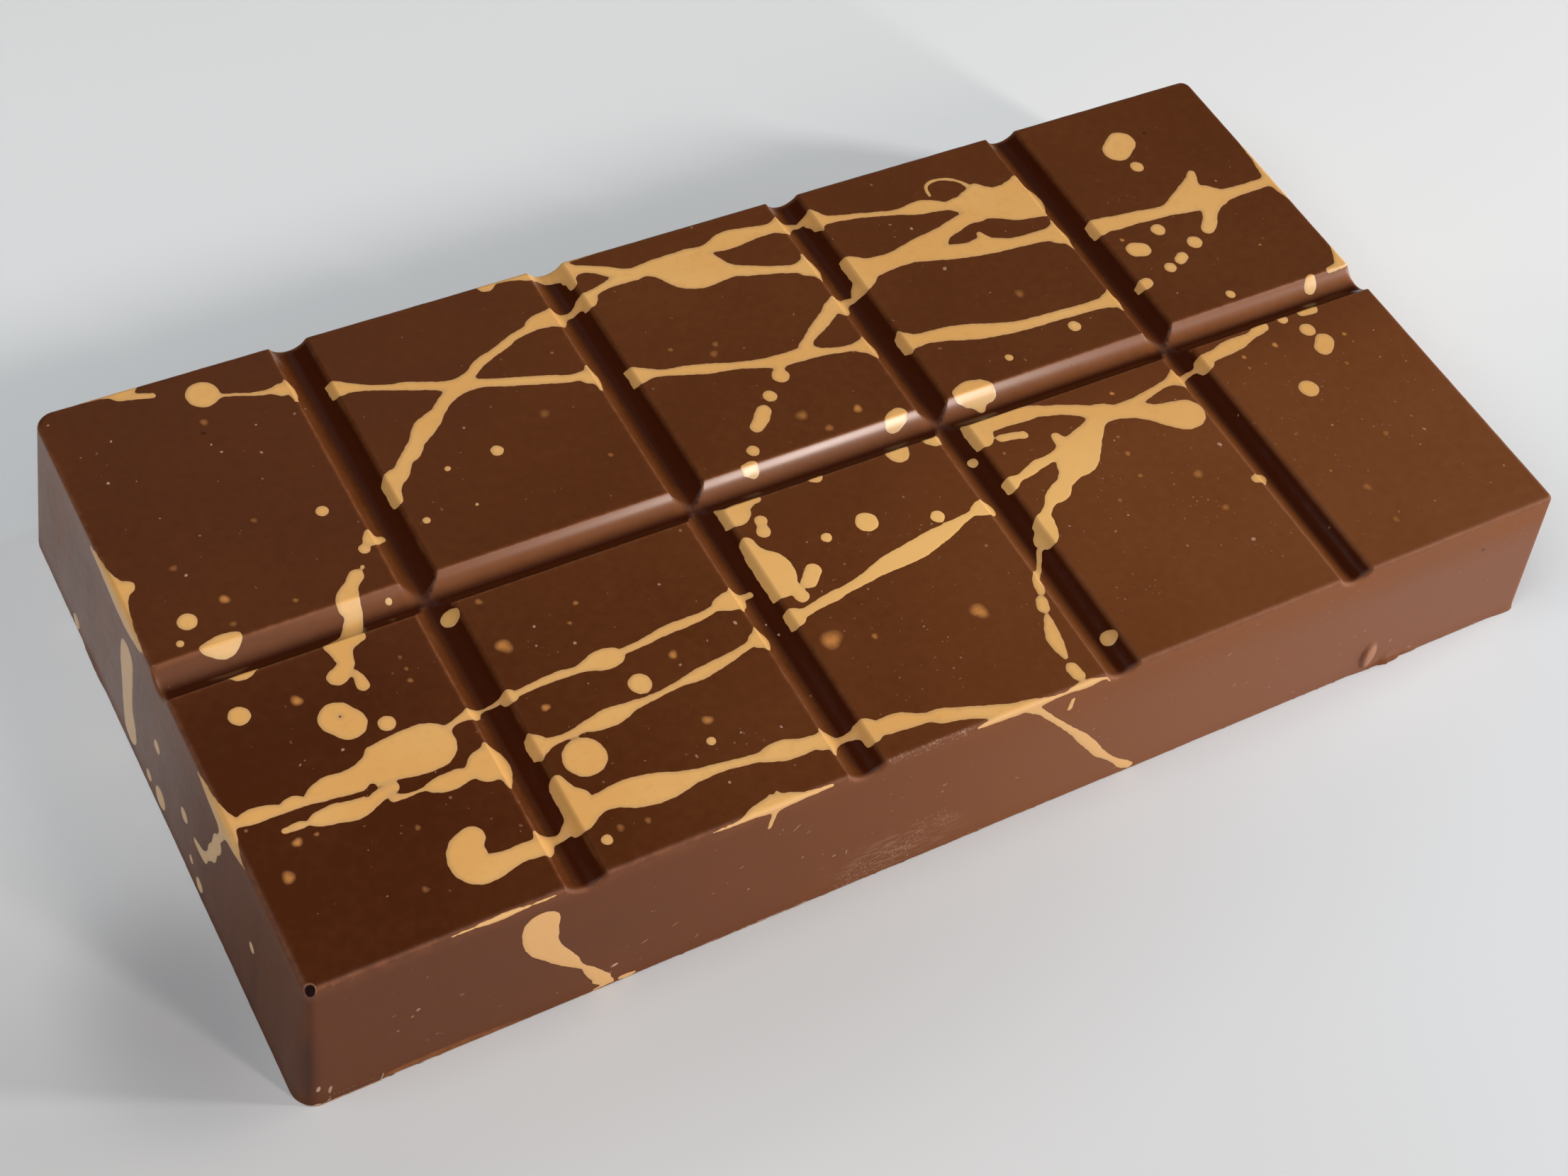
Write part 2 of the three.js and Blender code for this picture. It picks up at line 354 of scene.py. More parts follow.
def rounded_top(u, v):
    """The top's points: the skin, with the corner zones drawn in to the corners' arcs by the
    square of how far out they lie."""
    top = skin(u, v)
    px, py = np.abs(u) - EDGE[0] + CORNER_ZONE, np.abs(v) - EDGE[1] + CORNER_ZONE
    reach = np.where((px > 1e-9) & (py > 1e-9), np.maximum(px, py), 0) / CORNER_ZONE
    safe = np.where(reach > 0, reach, 1)
    edge_u = np.sign(u) * (EDGE[0] - CORNER_ZONE + px / safe)
    edge_v = np.sign(v) * (EDGE[1] - CORNER_ZONE + py / safe)
    round_u, round_v = outline(edge_u, edge_v, np.full(u.shape, HEIGHT), RIM)
    top[..., 0] += np.where(reach > 0, (round_u - edge_u) * reach**2, 0)
    top[..., 1] += np.where(reach > 0, (round_v - edge_v) * reach**2, 0)
    return top.reshape(-1, 3)


def foot_side(half, extra=()):
    """Where one side's points along the foot lie: evenly spread, closer in the corner zones,
    and at the extra places."""
    zone, inner = CORNER_ZONE * np.linspace(0, 1, 11), half - CORNER_ZONE
    middle = np.linspace(-inner, inner, round(2 * inner / FOOT_STEP) + 1)
    return np.unique(np.round(np.concatenate([-half + zone, middle, extra, half - zone]), 4))


def foot_rings(edge, gone):
    """The lower walls, ring by ring down to the foot: the outline, a lip on it made of slow and
    fine waves, the torn flakes pressed out of the lip, the drip, and the foot tucked in."""
    lip = 0.022 * wander(gone, (61, 37, 23, 13), 11) + 0.008 * wander(gone, (3.3, 2.1, 1.3), 4)
    torn = 0.9 + 0.1 * wander(gone, (2.3, 1.3, 0.8), 9)
    _, _, far, high = np.array(LIP_FLAKES).T
    flakes = [np.exp(-((gone - middle) / half)**4) for middle, half, _, _ in LIP_FLAKES]
    pressed, tall = far @ flakes * torn, high @ flakes
    for z in np.concatenate([[14.4, 11, 8.4, 6.8], np.arange(6.0, 1.45, -0.3),
                             [1.2, .95, .72, .52, .36, .24, .14, .06, 0]]):
        proud = (lip * np.clip(1 - z / 1.6, 0, 1)**1.5
                 + pressed * np.clip(1.25 - z / (0.35 + tall), 0, 1)**0.7)
        tucked = 0.14 * (1 - min(z / 0.2, 1))**2
        level = np.full(len(gone), z)
        x, y = outline(edge[:, 0], edge[:, 1], level, tucked - proud)
        yield np.stack([x, np.where(y < 0, y - drip(x, z), y), level], 1)


def underside(rim, numbers, count):
    """The foot's ring filled with spread points, slightly wavy from scraping. The ring's points
    keep their numbers, and the new ones are numbered from count on."""
    spread = np.stack(np.meshgrid(np.arange(-70.5, 71, 1.5), np.arange(-34.5, 35, 1.5)), -1)
    flat = np.vstack([rim[:, :2], spread.reshape(-1, 2)])
    made, _, triangles, origin, _, _ = delaunay_2d_cdt(
        [Vector(point) for point in flat.tolist()], [], [list(range(len(rim)))], 1, 1e-6)
    made = np.array([tuple(point) for point in made])
    number = np.full(len(made), -1)
    for place, sources in enumerate(origin):
        if sources and min(sources) < len(rim):
            number[place] = numbers[min(sources)]
    fresh = np.nonzero(number < 0)[0]
    number[fresh] = count + np.arange(len(fresh))
    x, y = made[fresh].T
    wave = (np.sin(x / 5.1 + 0.6 * np.sin(y / 4.3)) + np.sin(y / 3.7 + x / 11) + 2) * 0.03
    return np.stack([x, y, wave], 1), number[np.array(triangles)][:, ::-1]


def bar_mesh():
    """The top is a grid of lines laid over the relief. Rings then lead round the rim and down
    the walls, zipped onto closer rings for the lip, and the underside closes them."""
    xs, ys = grid_lines(EDGE[0], CROSS_GROOVES), grid_lines(EDGE[1], (0.0,))
    u, v = np.meshgrid(xs, ys, indexing="ij")
    index = np.arange(u.size).reshape(u.shape)
    faces = [np.stack([index[:-1, :-1], index[1:, :-1], index[1:, 1:], index[:-1, 1:]],
                      -1).reshape(-1, 4)]
    points = [rounded_top(u, v)]

    edge_ring = np.concatenate([index[-1, :-1], index[:0:-1, -1], index[0, :0:-1], index[:-1, 0]])
    edge, gone = round_the_edge(xs, ys)
    depth = top_depth(edge[:, 0], edge[:, 1])
    start = HEIGHT - depth - RIM
    chatter = 0.012 * wander(gone, (3.1, 1.9, 1.3, 0.9, 7.7), 5)
    rings = [(HEIGHT - depth - RIM * (1 - np.cos(turn)), RIM * (1 - np.sin(turn)) + chatter
              * np.sin(turn) * np.cos(turn) * 2) for turn in RIM_TURNS]
    rings += [(start + (WALL_PLAIN - start) * down, 0 * start) for down in WALL_PARTS]
    above, count = edge_ring, u.size
    for z, inset in rings:
        x, y = outline(edge[:, 0], edge[:, 1], z, inset)
        points.append(np.stack([x, y, z], 1))
        ring = count + np.arange(len(z))
        faces.append(band(ring, above))
        above, count = ring, count + len(z)
    above_gone = gone

    edge, gone = round_the_edge(foot_side(EDGE[0], np.arange(49.2, 54.6, 0.14)),
                                foot_side(EDGE[1]))
    for number, level in enumerate(foot_rings(edge, gone)):
        points.append(level)
        ring = count + np.arange(len(gone))
        faces.append(band(ring, above) if number else zip_rings(ring, gone, above, above_gone))
        above, count = ring, count + len(gone)
    fill, triangles = underside(points[-1], above, count)
    return np.concatenate([*points, fill]), [*faces, triangles]


points, faces = bar_mesh()
bar = add_mesh("chocolate_block", points, faces, SHARP)
# the skin's dusting with painted light and shade, its rubbed edges with a painted highlight, its
# roughness and its polish
dust_and_shading = dust_light_and_shade(*points.T)
store(bar, "rubbed_and_lit", rubbed_and_lit_edges(*points.T))
store(bar, "dust_and_shading", dust_and_shading)
store(bar, "dull", dullness(*points[:, :2].T, 0.2 + 0.38 * np.maximum(dust_and_shading, 0)))
store(bar, "polish", polish(*points.T))

# A bubble that broke open at the front left corner of the top, cut out as a small hollow.
BUBBLE, BUBBLE_HALF = (-71.86, -35.98, 19.0), (0.46, 0.5, 0.95)


def caps(index, number):
    """Two fans that close a stack of rings, from its first and its last ring to two points."""
    return [np.stack([index[0], np.roll(index[0], -1), np.full(index.shape[1], number)], 1),
            np.stack([np.roll(index[-1], -1), index[-1], np.full(index.shape[1], number + 1)], 1)]


def scoop(centre, half):
    """An ellipsoid for cutting: rings of latitude between two poles, stretched to half sizes."""
    around, rows = 24, 13
    lon = np.linspace(0, 2 * np.pi, around + 1)[:-1]
    lon, lat = np.meshgrid(lon, np.linspace(0, np.pi, rows + 2)[1:-1])
    globe = np.stack([np.sin(lat) * np.cos(lon), np.sin(lat) * np.sin(lon), np.cos(lat)], -1)
    globe = np.concatenate([globe.reshape(-1, 3), [[0, 0, 1], [0, 0, -1]]])
    index = np.arange(rows * around).reshape(rows, around)
    sides = [band(below, above) for above, below in zip(index, index[1:])]
    return add_mesh("scoop", globe * half + centre, [*sides, *caps(index, index.size)])


cutter = scoop(BUBBLE, BUBBLE_HALF)
cut = bar.modifiers.new("bubble", "BOOLEAN")
cut.operation, cut.solver, cut.object = "DIFFERENCE", "EXACT", cutter
finished = bpy.data.meshes.new_from_object(
    bar.evaluated_get(bpy.context.evaluated_depsgraph_get()))
bar.modifiers.clear()
bar.data = finished
bpy.data.objects.remove(cutter)
bar.data.set_sharp_from_angle(angle=math.radians(SHARP))


def add_node(tree, kind, settings=None, **inputs):
    """A shader node with its settings, and its sockets either set or linked. A socket is called
    by its name, or by i and its number."""
    made = tree.nodes.new(kind)
    for key, value in (settings or {}).items():
        setattr(made, key, value)
    for key, value in inputs.items():
        socket = made.inputs[int(key[1:]) if key[0] == "i" else key]
        if isinstance(value, bpy.types.NodeSocket):
            tree.links.new(value, socket)
        else:
            socket.default_value = value
    return made


def sums(tree, operation, first, second=0.0, third=0.0):
    """A Math node's result."""
    return add_node(tree, "ShaderNodeMath", {"operation": operation},
                    i0=first, i1=second, i2=third).outputs[0]


def times(tree, first, second):
    """The product of two masks or numbers."""
    return sums(tree, "MULTIPLY", first, second)


def vary(tree, value, *noises):
    """A value that each noise in turn raises and lowers: the noise about its middle, weighted."""
    for noisy, weight in noises:
        value = sums(tree, "MULTIPLY_ADD", sums(tree, "SUBTRACT", noisy, 0.5), weight, value)
    return value


def blend(tree, amount, first, second):
    """A Mix node's colour."""
    return add_node(tree, "ShaderNodeMix", {"data_type": "RGBA"},
                    i0=amount, i6=first, i7=second).outputs[2]


def layered(tree, colour, *layers):
    """A colour with others laid over it in turn, each as far as its mask."""
    for mask, over in layers:
        colour = blend(tree, mask, colour, over)
    return colour


def fade(tree, value, low, high, start=0.0, end=1.0):
    """A value taken from one range to another, smoothly, and held at its ends."""
    made = add_node(tree, "ShaderNodeMapRange", {"interpolation_type": "SMOOTHSTEP"},
                    i0=value, i1=low, i2=high, i3=start, i4=end)
    return made.outputs[0]


def noise(tree, place, scale, detail, roughness=0.5):
    """A Noise Texture's value."""
    return add_node(tree, "ShaderNodeTexNoise", Vector=place, Scale=scale, Detail=detail,
                    Roughness=roughness).outputs[0]


def mapped(tree, place, **moves):
    """A place that a Mapping node moved, turned or scaled."""
    return add_node(tree, "ShaderNodeMapping", Vector=place, **moves).outputs[0]


def read(tree, name):
    """A number that is stored on every point of the mesh."""
    return add_node(tree, "ShaderNodeAttribute", {"attribute_name": name}).outputs["Fac"]


def flecks(tree, place, scale, share, radius, soft, strength):
    """A mask of small round flecks: the middles of a share of a Voronoi pattern's cells."""
    cells = add_node(tree, "ShaderNodeTexVoronoi", Vector=place, Scale=scale)
    chosen = sums(tree, "LESS_THAN", cells.outputs["Color"], share)
    return times(tree, chosen, fade(tree, cells.outputs["Distance"], radius, radius * soft,
                                    strength, 0.0))


def spot(tree, place, middle, half, soft, strength=1.0):
    """A mask that is as strong as given in the middle of an ellipsoid and 0 outside it. The
    ellipsoid is given in millimetres, while all other places in materials are in metres."""
    for operation, by in (("SUBTRACT", middle), ("DIVIDE", half)):
        place = add_node(tree, "ShaderNodeVectorMath", {"operation": operation},
                         i0=place, i1=[part / 1000 for part in by]).outputs[0]
    length = add_node(tree, "ShaderNodeVectorMath", {"operation": "LENGTH"}, i0=place)
    return fade(tree, length.outputs["Value"], 1.0 - soft, 1.0, strength, 0.0)


# The grain that the mould gives to both the chocolate and the coloured cocoa butter: a cloudy
# tone, a faint unevenness of the surface, and patches that are a little duller.
grain = bpy.data.node_groups.new("cast_grain", "ShaderNodeTree")
grain.interface.new_socket("Place", in_out="INPUT", socket_type="NodeSocketVector")
grain.interface.new_socket("Roughness", in_out="INPUT", socket_type="NodeSocketFloat")
given, put_out = grain.nodes.new("NodeGroupInput").outputs, grain.nodes.new("NodeGroupOutput")
cloud, mottle, ripple, fine = [
    noise(grain, given["Place"], *kind)
    for kind in ((60.0, 3.0, 0.5), (900.0, 3.0, 0.6), (170.0, 2.0, 0.45), (2600.0, 2.0, 0.55))]
height = times(grain, fine, 0.22)
for noisy, weight in ((mottle, 0.5), (ripple, 2.2)):
    height = sums(grain, "MULTIPLY_ADD", noisy, weight, height)
dull = vary(grain, given["Roughness"], (mottle, 0.16), (cloud, 0.22))
for name, value in (("Cloud", cloud), ("Mottle", mottle), ("Height", height), ("Dull", dull)):
    grain.interface.new_socket(name, in_out="OUTPUT", socket_type="NodeSocketFloat")
    grain.links.new(value, put_out.inputs[name])


def new_material(name):
    """A material, its node tree, its shader's sockets, and the place on the object."""
    made = bpy.data.materials.new(name)
    made.use_nodes = True
    tree = made.node_tree
    return (made, tree, tree.nodes["Principled BSDF"].inputs,
            add_node(tree, "ShaderNodeTexCoord").outputs["Object"])


def add_grain(tree, place, roughness):
    """The outputs of the grain, about a given roughness."""
    return add_node(tree, "ShaderNodeGroup", {"node_tree": grain}, Place=place,
                    Roughness=roughness).outputs


GRAIN_HEIGHT = 0.00002             # in metres


def finish_cast(tree, sockets, colour, roughness, height, relief, ior):
    """What every cast surface ends with: its colour, its roughness, and the grain as a bump."""
    tree.links.new(colour, sockets["Base Color"])
    tree.links.new(roughness, sockets["Roughness"])
    sockets["IOR"].default_value = ior
    bump = add_node(tree, "ShaderNodeBump", Strength=relief, Distance=GRAIN_HEIGHT, Height=height)
    tree.links.new(bump.outputs[0], sockets["Normal"])


def add_shine(tree, sockets):
    """The shine of the lengthwise groove's polished side, as a coat."""
    tree.links.new(read(tree, "polish"), sockets["Coat Weight"])
    sockets["Coat Roughness"].default_value = 0.36
    sockets["Coat IOR"].default_value = 2.1


# The deep groove brown is painted shade, on the grooves' floors and on the sides that face away from
# the light.
DEEP_BROWN = (0.072, 0.0175, 0.0042, 1)
DUSTY_AND_LIT_BROWN = (0.250, 0.078, 0.0165, 1)
GROOVE_SHADE_BROWN = (0.050, 0.0085, 0.0013, 1)

milk_chocolate, tree, sockets, place = new_material("cast_milk_chocolate")
parts = add_node(tree, "ShaderNodeSeparateXYZ", Vector=place).outputs
cast = add_grain(tree, place, read(tree, "dull"))
dust_and_shading = read(tree, "dust_and_shading")
under_side = fade(tree, parts["Z"], 0.0004, 0.0001)
foot = fade(tree, parts["Z"], 0.0024, 0.0004)
streaks = noise(tree, mapped(tree, place, Rotation=(0.0, math.radians(38), 0.0),
                             Scale=(420.0, 420.0, 2600.0)), 1.0, 3.0, 0.6)
scuff = times(tree, spot(tree, place, (-9.5, -37.4, 3.2), (10.5, 2.5, 4.6), 0.75),
              fade(tree, streaks, 0.47, 0.66))
bands = noise(tree, mapped(tree, place, Scale=(0.0, 260.0, 25.0)), 1.0, 1.0)
shaded_pits = flecks(tree, mapped(tree, place, Location=(0.31, 0.17, 0.05)), 420.0, 0.07, 0.08, 1.5, 1.0)
hollow_shade = times(tree, fade(tree, parts["Z"], 0.01906, 0.01894),
               spot(tree, place, BUBBLE, [1.04 * part for part in BUBBLE_HALF], 0.03))
# The grooves' painted shade lies under the chocolate, which dusting, rubbing and painted light make
# paler.
colour = layered(
    tree, GROOVE_SHADE_BROWN,
    (fade(tree, dust_and_shading, -0.25, 0.0),
     blend(tree, vary(tree, dust_and_shading, (cast["Mottle"], 0.20), (cast["Cloud"], 0.22)),
           DEEP_BROWN, DUSTY_AND_LIT_BROWN)),
    # the scuff low on the front wall, and a pale bloom on the right of that wall, partly painted
    # sheen
    (times(tree, scuff, 0.6), (0.30, 0.15, 0.085, 1)),
    (times(tree, fade(tree, parts["Y"], -0.0364, -0.0369),
           fade(tree, parts["X"], -0.02, 0.065, 0.0, 0.6)), (0.205, 0.090, 0.056, 1)),
    # along the foot: a ruddy band and painted shade under a ledge on the left, and a flash on the
    # right
    (times(tree, spot(tree, place, (-59.5, -37.7, 0.1), (9.5, 1.5, 1.15), 0.35),
           fade(tree, cast["Mottle"], 0.36, 0.6, 0.5, 1.0)), (0.23, 0.075, 0.018, 1)),
    (spot(tree, place, (-68.3, -37.7, 0.35), (3.3, 1.0, 0.62), 0.35, 0.75), (0.10, 0.032, 0.010, 1)),
    (spot(tree, place, (55.0, -38.2, 0.1), (4.0, 1.5, 1.15), 0.4), (0.17, 0.047, 0.010, 1)),
    # the drip, and painted shade down the front left corner
    (spot(tree, place, (51.9, -37.9, 2.8), (1.1, 1.0, 2.2), 0.35, 0.7), (0.39, 0.185, 0.10, 1)),
    (spot(tree, place, (-72.95, -37.0, 9.0), (1.0, 1.0, 13.0), 0.7, 0.8), (0.06, 0.019, 0.010, 1)),
    # upright bands on the left wall
    (times(tree, fade(tree, bands, 0.42, 0.64, 0.0, 0.35), fade(tree, parts["X"], -0.0725, -0.073)),
     DEEP_BROWN),
    # pale flecks, painted shade in small pits, and rubbed edges that carry a painted highlight
    (flecks(tree, place, 700.0, 0.10, 0.10, 1.6, 0.55), (0.40, 0.20, 0.09, 1)),
    (times(tree, shaded_pits, 0.6), (0.03, 0.007, 0.002, 1)),
    # rubbed edges, partly a painted highlight along the rims and the top's outer edge
    (times(tree, times(tree, read(tree, "rubbed_and_lit"), 0.75),
           fade(tree, cast["Mottle"], 0.38, 0.62, 0.45, 0.85)), (0.25, 0.088, 0.034, 1)),
    # the bubble's broken rim, and painted shade in its hollow
    (spot(tree, place, BUBBLE, (1.45 * BUBBLE_HALF[0], 1.45 * BUBBLE_HALF[1], 0.7), 0.3, 0.8),
     (0.32, 0.15, 0.09, 1)),
    (hollow_shade, (0.02, 0.0022, 0.0008, 1)))
rough, lift = cast["Dull"], cast["Height"]
for mask, duller in ((foot, 0.12), (hollow_shade, 0.6), (scuff, 0.2), (under_side, 0.12)):
    rough = sums(tree, "MULTIPLY_ADD", mask, duller, rough)
for mask, higher in ((scuff, 1.2), (shaded_pits, -3.0)):
    lift = sums(tree, "MULTIPLY_ADD", mask, higher, lift)
finish_cast(tree, sockets, colour, rough, lift, 0.55, 1.47)
sockets["Specular IOR Level"].default_value = 0.36
add_shine(tree, sockets)
bar.data.materials.clear()
bar.data.materials.append(milk_chocolate)
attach(bar, "root")
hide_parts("bar")


# --- The splashes ---------------------------------------------------------------------------
# Caramel-coloured cocoa butter, flicked into the mould before the chocolate went in, so it lies
# flush in the skin. Each splash follows strokes of round brush marks, and flares where it met
# the ridge of a groove. It is made as a thin film that is sunk into the block.

